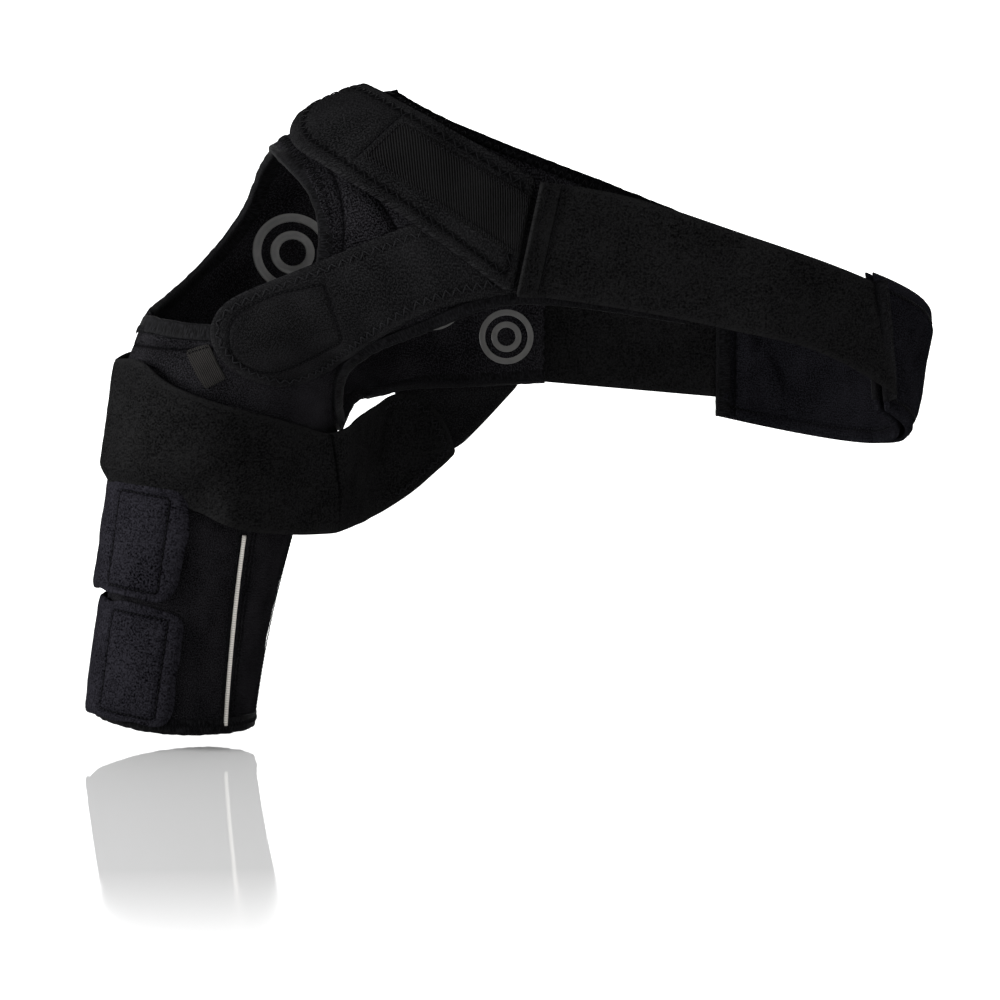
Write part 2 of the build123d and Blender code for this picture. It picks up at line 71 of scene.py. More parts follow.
# The body inside the wrap, hem to chest: centre x, z, lean of the section, half width, half depth
SLEEVE_SECTIONS = [
    (h * AXIS[0] - shift, h * AXIS[2], ARM_LEAN, width, depth)
    for h, shift, width, depth in ((-20, 3.2, 43.8, 45.5), (0, 3.2, 43.8, 45.5), (27, 3.5, 43.7, 45.5),
                                   (CUFF_STRAIGHT, 3.4, 44.1, 46), (110, 3.0, 48.0, 49.5))
]
FORM_SECTIONS = np.array(SLEEVE_SECTIONS + [
    (23.5, 163.3, 8.2, 54, 54),
    (34, 203, 16, 62, 58),
    (50, 233, 32, 66, 66),
    (72, 262, 52, 76, 76),
    (98, 272, 67, 87, 86),
    (125, 278, 78, 97, 93),
    (160, 278, 85, 108, 98),
    (200, 274, 90, 119, 100),
    (312, 262, 90, 131, 100),
])
SLEEVE_TOP = 5           # the section where the sleeve meets the shoulder panels

LOOP_FRONT_Y = -113.5
LOOP_BACK_Y = 106.0
LOOP_TURN_X = 340.0
LOOP_RADIUS = (LOOP_BACK_Y - LOOP_FRONT_Y) / 2
LOOP_MIDDLE_Y = (LOOP_BACK_Y + LOOP_FRONT_Y) / 2
PAD_CENTRE = np.array([450.0, 0.0, 215.5])
PAD_SLOPE = np.array([0.224, 0.158, 1.0])

LOWER_WING = 6.0         # how far each wing's underside is from the body
UPPER_WING = 10.2


# ------------------------------------------------------------------ curves in the flat
def lengths(points):
    """Distance along a line of points, at each point."""
    steps = np.linalg.norm(np.diff(points, axis=0), axis=1)
    return np.concatenate([[0.0], np.cumsum(steps)])


def resample(points, spacing, closed=False):
    """The same line with evenly spaced points."""
    points = np.asarray(points, float)
    if closed:
        points = np.vstack([points, points[:1]])
    along = lengths(points)
    count = max(2, int(round(along[-1] / spacing)) + 1)
    at = np.linspace(0, along[-1], count)
    line = np.column_stack([np.interp(at, along, points[:, k]) for k in range(points.shape[1])])
    return line[:-1] if closed else line


def spline(points, steps=14):
    """A smooth line through the points."""
    points = np.asarray(points, float)
    points = points[np.insert(np.linalg.norm(np.diff(points, axis=0), axis=1) > 0.5, 0, True)]
    ends = np.vstack([2 * points[0] - points[1], points, 2 * points[-1] - points[-2]])
    line = []
    for a, b, c, d in zip(ends[:-3], ends[1:-2], ends[2:-1], ends[3:]):
        t0, t1 = 0.0, np.linalg.norm(b - a) ** 0.5
        t2 = t1 + np.linalg.norm(c - b) ** 0.5
        t3 = t2 + np.linalg.norm(d - c) ** 0.5
        for t in np.linspace(t1, t2, steps, endpoint=False):
            ab = (t1 - t) / (t1 - t0) * a + (t - t0) / (t1 - t0) * b
            bc = (t2 - t) / (t2 - t1) * b + (t - t1) / (t2 - t1) * c
            cd = (t3 - t) / (t3 - t2) * c + (t - t2) / (t3 - t2) * d
            abc = (t2 - t) / (t2 - t0) * ab + (t - t0) / (t2 - t0) * bc
            bcd = (t3 - t) / (t3 - t1) * bc + (t - t1) / (t3 - t1) * cd
            line.append((t2 - t) / (t2 - t1) * abc + (t - t1) / (t2 - t1) * bcd)
    return np.array(line + [points[-1]])


def rounded(corners, radii, steps=8):
    """A closed outline with its corners rounded. radii is one number, or one for each corner."""
    corners = np.asarray(corners, float)
    radii = np.broadcast_to(np.asarray(radii, float), len(corners))
    outline = []
    for k, (corner, radius) in enumerate(zip(corners, radii)):
        before, after = corners[k - 1] - corner, corners[(k + 1) % len(corners)] - corner
        reach = min(radius, 0.48 * np.linalg.norm(before), 0.48 * np.linalg.norm(after))
        start = corner + before / np.linalg.norm(before) * reach
        end = corner + after / np.linalg.norm(after) * reach
        for t in np.linspace(0, 1, steps if reach > 0 else 1):
            outline.append((1 - t) ** 2 * start + 2 * t * (1 - t) * corner + t * t * end)
    return np.array(outline)


def inside(points, outline):
    """Which points are inside a closed outline."""
    x, y = points[:, 0], points[:, 1]
    hit = np.zeros(len(points), bool)
    for (ax, ay), (bx, by) in zip(outline, np.roll(outline, -1, axis=0)):
        crosses = (ay > y) != (by > y)
        hit ^= crosses & (x < (bx - ax) * (y - ay) / (by - ay + 1e-12) + ax)
    return hit


def distance(points, line):
    """Distance from each point to the nearest of a line's points."""
    tree = kdtree.KDTree(len(line))
    for k, p in enumerate(line):
        tree.insert((p[0], p[1], 0), k)
    tree.balance()
    return np.array([tree.find((p[0], p[1], 0))[2] for p in points])


def inset(outline, amount):
    """A closed outline moved inwards."""
    outline = resample(outline, 1.5, closed=True)
    tangent = np.roll(outline, -1, axis=0) - np.roll(outline, 1, axis=0)
    normal = np.column_stack([-tangent[:, 1], tangent[:, 0]])
    normal /= np.linalg.norm(normal, axis=1)[:, None]
    moved = outline + amount * normal
    if inside(moved, outline).mean() < 0.5:
        moved = outline - amount * normal
    keep = inside(moved, outline) & (distance(moved, outline) > 0.93 * amount)
    return moved[keep]


def beside(line, amount):
    """An open line moved sideways, to its left for a positive amount."""
    tangent = np.gradient(line, axis=0)
    normal = np.column_stack([-tangent[:, 1], tangent[:, 0]])
    return line + amount * normal / np.linalg.norm(normal, axis=1)[:, None]


def fill(lines, spacing, keep, margin=0.4):
    """Even triangles between the lines, in the flat, where keep says so. A line is (points, closed)."""
    points, edges = [], []
    for line, closed in lines:
        line = resample(line, spacing if closed else min(spacing, 1.8), closed)
        first = len(points)
        points += [tuple(p) for p in line]
        edges += [(first + k, first + k + 1) for k in range(len(line) - 1)]
        if closed:
            edges.append((first + len(line) - 1, first))
    border = np.array(points)
    low, high = border.min(0), border.max(0)
    rows = np.arange(low[1], high[1], spacing * 0.866)
    grid = [(x + (k % 2) * spacing / 2, y)
            for k, y in enumerate(rows) for x in np.arange(low[0], high[0], spacing)]
    grid = np.array(grid)
    grid = grid[distance(grid, border) > (0.5 + margin) * spacing]
    points += [tuple(p) for p in grid]
    flat, _, faces, *_ = delaunay_2d_cdt([Vector(p) for p in points], edges, [], 0, 1e-5)
    flat, tris = np.array([tuple(p) for p in flat]), np.array(faces)
    tris = tris[keep(flat[tris].mean(1))]
    used, tris = np.unique(tris, return_inverse=True)
    return flat[used], tris.reshape(-1, 3)


GROOVE_HALF = 1.3        # how far either side a row of stitches pulls the cloth down


def cut(outline, spacing=2.5, sewn=()):
    """Even triangles inside one outline, with mesh lines along its rows of stitches."""
    outline = resample(outline, spacing, closed=True)
    lines = [(outline, True)]
    for row in sewn:
        row = resample(row, 1.5)
        for shift in (-GROOVE_HALF, 0, GROOVE_HALF):
            line = beside(row, shift) if shift else row
            lines.append((line[inside(line, outline)], False))
    return fill(lines, spacing, lambda p: inside(p, outline))


# ------------------------------------------------------------------ places
FORM_ALONG = lengths(FORM_SECTIONS[:, :2])
FLAT_RADIUS = 80.0       # turns an angle round the body into a length in the flat


def hermite(at, knots, values):
    """Smooth values between knots."""
    slope = np.gradient(values, knots)
    k = np.clip(np.searchsorted(knots, at) - 1, 0, len(knots) - 2)
    h = knots[k + 1] - knots[k]
    t = (at - knots[k]) / h
    return ((2 * t**3 - 3 * t**2 + 1) * values[k] + (t**3 - 2 * t**2 + t) * h * slope[k]
            + (3 * t**2 - 2 * t**3) * values[k + 1] + (t**3 - t**2) * h * slope[k + 1])


def on_form(flat, out):
    """Lays cloth on the body: flat x is the way along it, flat y the way round it, 0 on the outside
    of the arm and the top of the shoulder, positive in front. out is the distance from the body."""
    flat = np.atleast_2d(flat)
    x, z, lean, width, depth = (hermite(flat[:, 0], FORM_ALONG, FORM_SECTIONS[:, k]) for k in range(5))
    lean, turn = np.radians(lean), flat[:, 1] / FLAT_RADIUS
    across = (width + out) * np.cos(turn)
    return np.column_stack([x - np.cos(lean) * across, -(depth + out) * np.sin(turn),
                            z + np.sin(lean) * across])


def seen_grid():
    """Places on the front of the body, and a tree that finds them by their (x, z)."""
    along = np.linspace(FORM_ALONG[1], FORM_ALONG[-1], 260)
    round_ = np.linspace(0, math.pi, 120) * FLAT_RADIUS
    flat = np.array([(a, r) for a in along for r in round_])
    place = on_form(flat, 3.0)
    tree = kdtree.KDTree(len(flat))
    for k, p in enumerate(place):
        tree.insert((p[0], p[2], 0), k)
    tree.balance()
    return flat, tree


SEEN_FLAT, SEEN_TREE = seen_grid()


def from_front(points, out=3.0, side=1):
    """Flat places on the body of points (x, z) seen from the front. side is -1 for the back."""
    points = np.asarray(points, float)
    flat = np.array([SEEN_FLAT[SEEN_TREE.find((p[0], p[1], 0))[1]] for p in points])
    step = 0.05
    for _ in range(8):
        here = on_form(flat, out)[:, [0, 2]]
        du = (on_form(flat + [step, 0], out)[:, [0, 2]] - here) / step
        dv = (on_form(flat + [0, step], out)[:, [0, 2]] - here) / step
        miss = points - here
        det = du[:, 0] * dv[:, 1] - du[:, 1] * dv[:, 0]
        det = np.where(np.abs(det) < 0.02, np.where(det < 0, -0.02, 0.02), det)
        a = (miss[:, 0] * dv[:, 1] - miss[:, 1] * dv[:, 0]) / det
        b = (du[:, 0] * miss[:, 1] - du[:, 1] * miss[:, 0]) / det
        flat = flat + np.clip(np.column_stack([a, b]), -6, 6)
        flat[:, 1] = np.clip(flat[:, 1], 0, math.pi * FLAT_RADIUS)
    return flat * [1, side]


def body_line(points, out):
    """An open line on the body's front from points (x, z)."""
    return from_front(resample(points, 2.0), out, 1)


def on_cuff(flat, out):
    """Round the cuff's axis: flat x is the way round, 0 on the outside of the arm and positive in
    front, flat y the height up the axis, out the distance from the axis."""
    flat = np.atleast_2d(flat)
    turn, out = flat[:, 0] / 60.0, np.broadcast_to(out, len(flat))
    sideways = np.array([-AXIS[2], 0, AXIS[0]])
    return (flat[:, 1:2] * AXIS + (out * np.cos(turn))[:, None] * sideways
            - (out * np.sin(turn))[:, None] * np.array([0, 1, 0]))


class Plan:
    """A band seen from above as a line of points, with its outside on the right of the line."""

    def __init__(self, points):
        self.points = resample(points, 1.0)
        self.along = lengths(self.points)
        tangent = np.gradient(self.points, axis=0)
        tangent /= np.linalg.norm(tangent, axis=1)[:, None]
        self.outward = np.column_stack([tangent[:, 1], -tangent[:, 0]])

    def at(self, along, out):
        both = [np.interp(along, self.along, self.points[:, k])
                + out * np.interp(along, self.along, self.outward[:, k]) for k in (0, 1)]
        return np.column_stack(both)


def arc(centre, radius, start, end, steps=60):
    """Points along an arc, from one angle to another."""
    turn = np.radians(np.linspace(start, end, steps))
    return np.column_stack([centre[0] + radius * np.cos(turn), centre[1] + radius * np.sin(turn)])


LOOP_START_X = 195.0
LOOP_TURN = (LOOP_TURN_X, LOOP_MIDDLE_Y)
LOOP = Plan(np.vstack([
    [(LOOP_START_X, LOOP_FRONT_Y)], arc(LOOP_TURN, LOOP_RADIUS, -90, 90), [(LOOP_START_X, LOOP_BACK_Y)],
]))


def loop_along(x, y_sign):
    """The way along the chest loop at a given x, in front (-1) or behind (1)."""
    if x <= LOOP_TURN_X:
        front = x - LOOP_START_X
    else:
        front = LOOP_TURN_X - LOOP_START_X + LOOP_RADIUS * math.asin((x - LOOP_TURN_X) / LOOP_RADIUS)
    return front if y_sign < 0 else LOOP.along[-1] - front


def on_loop(flat, out):
    """Along the chest loop: flat x is the way along it, flat y the height, out the distance outside."""
    flat = np.atleast_2d(flat)
    return np.column_stack([LOOP.at(flat[:, 0], out), flat[:, 1]])


PAD_LEAN = 0.16          # how much the pad's lower edge swings in under the arm


def on_pad(flat, out):
    """The same, with the height measured from the pad's sloping middle line."""
    flat = np.atleast_2d(flat)
    middle = LOOP.at(flat[:, 0], 0)
    turned = np.clip((middle[:, 0] - LOOP_TURN_X) / LOOP_RADIUS, 0, 1)
    out = out - (7.0 + PAD_LEAN * (18.0 - flat[:, 1])) * turned**2
    slope = PAD_CENTRE[2] - (middle[:, 0] - PAD_CENTRE[0]) * PAD_SLOPE[0] - middle[:, 1] * PAD_SLOPE[1]
    return np.column_stack([LOOP.at(flat[:, 0], out), slope + flat[:, 1]])


# ------------------------------------------------------------------ meshes
def make(name, points, faces, material, flat=None, near_edge=None, sewn=None):
    """A smooth mesh object, with its flat places as UVs in metres."""
    data = bpy.data.meshes.new(name)
    data.from_pydata((np.asarray(points) * MM).tolist(), [], [[int(k) for k in f] for f in faces])
    if flat is not None:
        uvs = data.uv_layers.new(name="cloth")
        corner = np.zeros(len(data.loops), int)
        data.loops.foreach_get("vertex_index", corner)
        uvs.data.foreach_set("uv", (np.asarray(flat)[corner] * MM).astype(np.float32).ravel())
    # near_edge carries the painted highlight of the rims, sewn the painted shade along the rows of
    # stitches.
    for key, values in (("near_edge", near_edge), ("sewn", sewn)):
        if values is not None:
            attribute = data.attributes.new(key, "FLOAT", "POINT")
            attribute.data.foreach_set("value", np.asarray(values, np.float32))
    data.materials.append(material)
    obj = bpy.data.objects.new(name, data)
    bpy.context.scene.collection.objects.link(obj)
    data.polygons.foreach_set("use_smooth", np.ones(len(data.polygons), bool))
    return obj


def wrinkle(points, size, height, seed):
    """Gentle uneven height at each point, the same in every run."""
    return height * np.array([noise.noise(Vector((p[0] / size, p[1] / size, seed))) for p in points])


def ragged(outline, size, amount, seed):
    """A closed outline made slightly uneven, as cloth cut and sewn by hand."""
    outline = resample(outline, 2.0, closed=True)
    moves = [wrinkle(outline, size, amount, seed + more) for more in (0, 9)]
    return outline + np.column_stack(moves)


def sunk(flat, line):
    """1 on a row of stitches, falling to 0 beside it."""
    return np.clip(1.15 - distance(flat, resample(line, 0.8)) / GROOVE_HALF, 0, 1)


def groove(flat, line, depth=0.5):
    """How far a row of stitches pulls the cloth down."""
    return -depth * sunk(flat, line)


RIM_STEPS = 5


def slab(name, shape, place, low, high, material, relief=None, rim=1.4, sewn=()):
    """A thick sheet from low to high, with a rounded rim. relief(flat) raises its outer face, and
    sewn is its rows of stitches."""
    flat, tris = shape
    lift = np.zeros(len(flat)) if relief is None else relief(flat)
    top, bottom = place(flat, high + lift), place(flat, low + 0.25 * lift)
    normal = np.cross(top[tris[:, 1]] - top[tris[:, 0]], top[tris[:, 2]] - top[tris[:, 0]])
    if ((top - bottom)[tris[:, 0]] * normal).sum() < 0:
        tris = tris[:, ::-1]
    edges = np.vstack([tris[:, [0, 1]], tris[:, [1, 2]], tris[:, [2, 0]]])
    both = {(a, b) for a, b in edges}
    border = np.array([(a, b) for a, b in edges if (b, a) not in both])
    half = (top - bottom) / 2
    outward = np.zeros_like(top)
    for a, b in ((0, 1), (1, 0)):
        step = np.cross(top[border[:, 1]] - top[border[:, 0]], half[border[:, a]])
        np.add.at(outward, border[:, a], step / np.linalg.norm(step, axis=1)[:, None])
    edge_points = np.unique(border)
    size = np.linalg.norm(outward, axis=1)
    outward[size > 0] /= size[size > 0][:, None]
    rim = min(rim, np.linalg.norm(half[edge_points], axis=1).mean() * 1.3)
    top[edge_points] -= rim * outward[edge_points]
    bottom[edge_points] -= rim * outward[edge_points]
    count, middle = len(flat), (top + bottom) / 2
    order = np.full(count, -1)
    order[edge_points] = np.arange(len(edge_points))
    points, uvs = [top, bottom], [flat, flat]
    rings = [edge_points]
    for k in range(1, RIM_STEPS):
        turn = math.pi * (0.5 - k / RIM_STEPS)
        points.append(middle[edge_points] + rim * math.cos(turn) * outward[edge_points]
                      + math.sin(turn) * half[edge_points])
        uvs.append(flat[edge_points] + [0.5 * k, 0.35 * k])
        rings.append(2 * count + (k - 1) * len(edge_points) + np.arange(len(edge_points)))
    rings.append(count + edge_points)
    faces = tris.tolist() + (tris[:, ::-1] + count).tolist()
    a, b = order[border[:, 0]], order[border[:, 1]]
    for upper, lower in zip(rings[:-1], rings[1:]):
        faces += np.column_stack([upper[b], upper[a], lower[a], lower[b]]).tolist()
    # near_edge is 1 on the rim and falls off inwards; cloth() paints its highlight with it.
    gap = distance(flat, flat[edge_points])
    near = np.exp(-gap / 2.5)
    near_edge = np.concatenate([near, near] + [np.ones(len(edge_points))] * (RIM_STEPS - 1))
    # The rows of stitches, stored for cloth() to darken: painted shade in their grooves.
    rows = np.zeros(len(np.vstack(points)))
    for line in sewn:
        rows[:count] = np.maximum(rows[:count], sunk(flat, line))
    return make(name, np.vstack(points), faces, material, np.vstack(uvs), near_edge, rows)


def frames(points, up):
    """Unit directions along a line of points, and across it on the surface whose normal is up."""
    along = np.gradient(points, axis=0)
    along /= np.linalg.norm(along, axis=1)[:, None]
    up = up - (up * along).sum(1)[:, None] * along
    up /= np.linalg.norm(up, axis=1)[:, None]
    return along, np.cross(along, up), up


def sweep(name, flat, place, profile, material, out=0.0, closed=False, ripple=0.0):
    """A closed profile of (across, up) points carried along a line on a surface. Across points to
    the right of the line, seen from outside. ripple makes it pucker."""
    points = place(flat, out)
    up = place(flat, out + 1.0) - points
    if closed:
        points = np.vstack([points[-2:], points, points[:2]])
        up = np.vstack([up[-2:], up, up[:2]])
    along, across, up = frames(points, up)
    if closed:
        points, across, up = points[2:-2], across[2:-2], up[2:-2]
    travel = lengths(points)
    middle = np.mean(profile, axis=0)
    rings, uvs = [], []
    for k, (p, a, u) in enumerate(zip(points, across, up)):
        swell = 1 + ripple * noise.noise(Vector((travel[k] / 4.0, 3.7, len(profile))))
        for j, (x, y) in enumerate(profile):
            x, y = middle[0] + (x - middle[0]) * swell, middle[1] + (y - middle[1]) * swell
            rings.append(p + a * x + u * y)
            uvs.append((travel[k], 1.3 * j))
    n, m = len(points), len(profile)
    faces = []
    for k in range(n if closed else n - 1):
        for j in range(m):
            i = (j + 1) % m
            nxt = (k + 1) % n
            faces.append((k * m + j, nxt * m + j, nxt * m + i, k * m + i))
    if not closed:
        faces += [tuple(range(m)), tuple(range((n - 1) * m, n * m))[::-1]]
    obj = make(name, rings, faces, material, uvs, np.zeros(n * m))
    return obj


THREAD = 0.38
# The rings of one stitch: share of its length, height and size, in thread radii
STITCH_RINGS = ((0.0, -0.5, 0.45), (0.16, 0.35, 0.95), (0.5, 0.75, 1.0), (0.84, 0.35, 0.95),
                (1.0, -0.5, 0.45))


def stitches(name, runs, place, out, material, thread=THREAD):
    """Short threads that arch over the cloth. A run is (starts, ends) in the flat, and out is the
    cloth's height, as a number or as a function of the place."""
    height = out if callable(out) else (lambda flat: np.full(len(flat), float(out)))
    starts = np.vstack([run[0] for run in runs])
    ends = np.vstack([run[1] for run in runs])
    middle = (starts + ends) / 2
    a, b = place(starts, height(starts)), place(ends, height(ends))
    up = place(middle, height(middle) + 1.0) - place(middle, height(middle))
    up /= np.linalg.norm(up, axis=1)[:, None]
    along = (b - a) / np.linalg.norm(b - a, axis=1)[:, None]
    across = np.cross(along, up)
    sides = 5
    points = []
    for share, lift, size in STITCH_RINGS:
        centre = a + share * (b - a) + lift * thread * up
        for j in range(sides):
            turn = 2 * math.pi * j / sides
            points.append(centre + size * thread * (math.cos(turn) * across + math.sin(turn) * up))
    points = np.stack(points, axis=1).reshape(-1, 3)
    per, faces = sides * len(STITCH_RINGS), []
    for s in range(len(starts)):
        base = s * per
        for k in range(len(STITCH_RINGS) - 1):
            for j in range(sides):
                i = (j + 1) % sides
                faces.append((base + k * sides + j, base + k * sides + i,
                              base + (k + 1) * sides + i, base + (k + 1) * sides + j))
    return make(name, points, faces, material, np.zeros((len(points), 2)), np.zeros(len(points)))


def lockstitch(line, pitch=3.0, closed=False):
    """A straight run of stitches along a line, each end to end with a small gap."""
    line = resample(line, pitch, closed)
    ends = np.roll(line, -1, axis=0) if closed else line[1:]
    starts = line if closed else line[:-1]
    gap = 0.13 * (ends - starts)
    return starts + gap, ends - gap


def over(base, relief, gap=0.1):
    """The height of a cloth's face, from its base height and its relief."""
    return lambda flat: base + gap + relief(flat)


def zigzag(line, width=4.0, pitch=2.6, closed=False):
    """A zigzag run of stitches about a line."""
    line = resample(line, pitch, closed)
    side = beside(line, width / 2) if not closed else beside(np.vstack([line, line[:1]]), width / 2)[:-1]
    other = 2 * line - side
    corners = np.where((np.arange(len(line)) % 2 == 0)[:, None], side, other)
    return corners[:-1], corners[1:]


# ------------------------------------------------------------------ materials
class Nodes:
    """A material's node tree, with short calls to add nodes and join them."""

    def __init__(self, name):
        self.material = bpy.data.materials.new(name)
        self.material.use_nodes = True
        self.tree = self.material.node_tree
        self.shader = self.tree.nodes["Principled BSDF"]

    def add(self, kind, **settings):
        node = self.tree.nodes.new("ShaderNode" + kind)
        for key, value in settings.items():
            if hasattr(node, key):
                setattr(node, key, value)
            else:
                node.inputs[key.replace("_", " ")].default_value = value
        return node

    def join(self, output, target):
        self.tree.links.new(output, target)

    def cloth_space(self):
        """The flat cloth's own coordinates, in millimetres."""
        uv = self.add("UVMap", uv_map="cloth")
        mapping = self.add("Mapping")
        mapping.inputs["Scale"].default_value = (1 / MM, 1 / MM, 1)
        self.join(uv.outputs["UV"], mapping.inputs["Vector"])
        return mapping.outputs["Vector"]

    def noise(self, space, size, detail=2.0, rough=0.5):
        node = self.add("TexNoise", Scale=1.0 / size, Detail=detail, Roughness=rough)
        self.join(space, node.inputs["Vector"])
        return node.outputs["Fac"]

    def wave(self, space, pitch, direction, distort):
        node = self.add("TexWave", bands_direction=direction, Scale=math.pi / (10 * pitch),
                        Distortion=distort)
        node.inputs["Detail"].default_value = 1.0
        self.join(space, node.inputs["Vector"])
        return node.outputs["Fac"]

    def maths(self, operation, a, b=0.5):
        node = self.add("Math", operation=operation)
        for value, socket in ((a, node.inputs[0]), (b, node.inputs[1])):
            if isinstance(value, (int, float)):
                socket.default_value = value
            else:
                self.join(value, socket)
        return node.outputs[0]

    def between(self, value, low, high, to_low=0.0, to_high=1.0):
        node = self.add("MapRange")
        ends = {"From Min": low, "From Max": high, "To Min": to_low, "To Max": to_high}
        for key, number in ends.items():
            node.inputs[key].default_value = number
        self.join(value, node.inputs["Value"])
        return node.outputs["Result"]

    def mix(self, share, a, b):
        node = self.add("Mix", data_type="RGBA")
        self.join(share, node.inputs["Factor"])
        for value, socket in ((a, node.inputs["A"]), (b, node.inputs["B"])):
            socket = [s for s in node.inputs if s.name == socket.name and s.type == "RGBA"][0]
            if isinstance(value, tuple):
                socket.default_value = (*value, 1)
            else:
                self.join(value, socket)
        return [s for s in node.outputs if s.type == "RGBA"][0]


def cloth(name, colour, light, grain, rough=0.88, bump=0.3, speckle=0.95, rib=None, knit=None,
          edge=0.0, nap=False, shine=0.0):
    """A black fabric: fine grain, slow change of tone, a nap or ribs or a knit, a painted highlight on
    its edges and rim, and painted shade along its rows of stitches.
    colour and light are its darkest and lightest threads; grain, rib and knit are in millimetres."""
    n = Nodes(name)
    space = n.cloth_space()
    fine = n.noise(space, grain, 3.0, 0.65)
    slow = n.noise(space, 26.0, 2.0, 0.5)
    height = n.between(fine, 0.43, 0.59)
    if knit:
        rows = n.wave(space, knit, "X", 0.6)
        columns = n.wave(space, knit * 1.25, "Y", 0.9)
        height = n.maths("ADD", n.maths("MULTIPLY", n.maths("MULTIPLY", rows, columns), 0.25),
                         n.maths("MULTIPLY", height, 0.8))
    if rib:
        ribs = n.wave(space, rib[0], rib[1], 0.15)
        height = n.maths("ADD", n.maths("MULTIPLY", ribs, 1.2), n.maths("MULTIPLY", height, 0.3))
    if nap:
        tufts = n.add("TexVoronoi", Scale=1.0 / (grain * 1.5))
        n.join(space, tufts.inputs["Vector"])
        height = n.maths("ADD", n.maths("MULTIPLY", height, 0.7),
                         n.maths("MULTIPLY", tufts.outputs["Distance"], 0.7))
    tone = n.maths("ADD", n.maths("MULTIPLY", n.between(height, 0.15, 1.0), speckle),
                   n.between(slow, 0.25, 0.75, -0.12, 0.22))
    # A painted highlight: the cloth is lighter near its edges and on its rounded rim, by the share edge.
    near = n.add("Attribute", attribute_name="near_edge").outputs["Fac"]
    edge_highlight = n.maths("MULTIPLY", n.maths("MULTIPLY", near, edge), n.between(fine, 0.35, 0.65, 0.4, 1.0))
    rows = n.add("Attribute", attribute_name="sewn").outputs["Fac"]
    share = n.maths("ADD", tone, edge_highlight)
    share.node.use_clamp = True
    # Painted shade: along the rows of stitches (the sewn attribute) the colour falls to 12 %, as shade
    # in their grooves.
    share = n.maths("MULTIPLY", share, n.between(rows, 0.0, 1.0, 1.0, 0.12))
    n.join(n.mix(share, colour, light), n.shader.inputs["Base Color"])
    relief = n.add("Bump", Strength=bump, Distance=0.4 * MM)
    n.join(height, relief.inputs["Height"])
    n.join(relief.outputs["Normal"], n.shader.inputs["Normal"])
    roughness = n.between(slow, 0.3, 0.7, rough - 0.05, min(1.0, rough + 0.06))
    n.join(roughness, n.shader.inputs["Roughness"])
    n.shader.inputs["Specular IOR Level"].default_value = shine
    return n.material


# edge is the strength of each cloth's painted highlight on its edges and rim.
NEOPRENE = cloth("neoprene_loop_face", (0.0006, 0.0006, 0.0007), (0.0143, 0.0139, 0.0157), 0.9,
                 knit=1.0, edge=0.05)
WING_FACE = cloth("wing_neoprene", (0.0014, 0.0014, 0.0015), (0.0108, 0.0108, 0.0114), 0.85,
                  knit=1.0, edge=0.15)
TAB_FACE = cloth("tab_plush", (0.0001, 0.0001, 0.0002), (0.0112, 0.0108, 0.0136), 1.2,
                 edge=0.05, nap=True, bump=0.7)
PLUSH_ELASTIC = cloth("plush_elastic", (0.0003, 0.0003, 0.0003), (0.0073, 0.0073, 0.0075), 1.1,
                      edge=0.6, nap=True, bump=0.7)
PAD_FACE = cloth("pad_neoprene", (0.0008, 0.0008, 0.0010), (0.0094, 0.0094, 0.0116), 0.9,
                 knit=1.1, edge=0.2)
TAPE = cloth("binding_tape", (0.0007, 0.0007, 0.0008), (0.0078, 0.0078, 0.0088), 0.9,
             rough=0.7, knit=0.8, speckle=0.8, edge=0.05, shine=0.02)
# A darker copy of the binding tape for the neck binding: painted shade, as that tape lies in shadow.
SHADED_TAPE = cloth("shaded_neck_tape", (0.0002, 0.0002, 0.0003), (0.0036, 0.0036, 0.0040), 0.9,
                  rough=0.8, knit=0.8, speckle=0.8, edge=0.05)
WEBBING = cloth("ribbed_webbing", (0.0003, 0.0003, 0.0003), (0.0074, 0.0074, 0.0076), 0.9,
                rough=0.75, rib=(1.3, "X"), speckle=0.9, bump=0.9, edge=0.1)
LABEL = cloth("woven_label", (0.0012, 0.0012, 0.0012), (0.0210, 0.0200, 0.0190), 0.9,
              rough=0.65, rib=(1.25, "Y"), speckle=0.8, bump=0.7)
THREAD_BLACK = cloth("black_thread", (0.0012, 0.0012, 0.0014), (0.0080, 0.0080, 0.0090), 0.6,
                     rough=0.55, speckle=0.6, bump=0.2, shine=0.02)
THREAD_GREY = cloth("charcoal_thread", (0.0040, 0.0040, 0.0044), (0.0170, 0.0170, 0.0190), 0.6,
                    rough=0.55, speckle=0.6, bump=0.2, shine=0.03)
CORD = cloth("reflective_piping", (0.30, 0.285, 0.265), (0.60, 0.575, 0.53), 0.8,
             rough=0.45, rib=(1.4, "X"), speckle=0.7, bump=0.25, shine=0.3)
HOOK_FACE = cloth("hook_patch", (0.0012, 0.0012, 0.0012), (0.008, 0.008, 0.0084), 0.6,
                  rough=0.5, knit=1.4, speckle=0.8, bump=1.0, shine=0.1)


def silicone(name):
    """Printed silicone: mid grey, slightly glossy, lighter towards its edges."""
    n = Nodes(name)
    space = n.cloth_space()
    slow = n.noise(space, 6.0, 2.0)
    near = n.add("Attribute", attribute_name="near_edge").outputs["Fac"]
    share = n.maths("ADD", n.between(near, 0.2, 0.9, 0.25, 0.9), n.between(slow, 0.3, 0.7, -0.2, 0.1))
    n.join(n.mix(share, (0.020, 0.020, 0.0205), (0.054, 0.053, 0.051)), n.shader.inputs["Base Color"])
    n.shader.inputs["Roughness"].default_value = 0.38
    relief = n.add("Bump", Strength=0.3, Distance=0.2 * MM)
    n.join(slow, relief.inputs["Height"])
    n.join(relief.outputs["Normal"], n.shader.inputs["Normal"])
    return n.material


SILICONE = silicone("silicone_print")


def dress(obj, slot, body, *nodes):
    """Attaches the piece to its body and hides the CAD nodes that it stands for. slot is not used."""
    if body:
        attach(obj, body)
    if nodes:
        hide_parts(*nodes)
    return obj


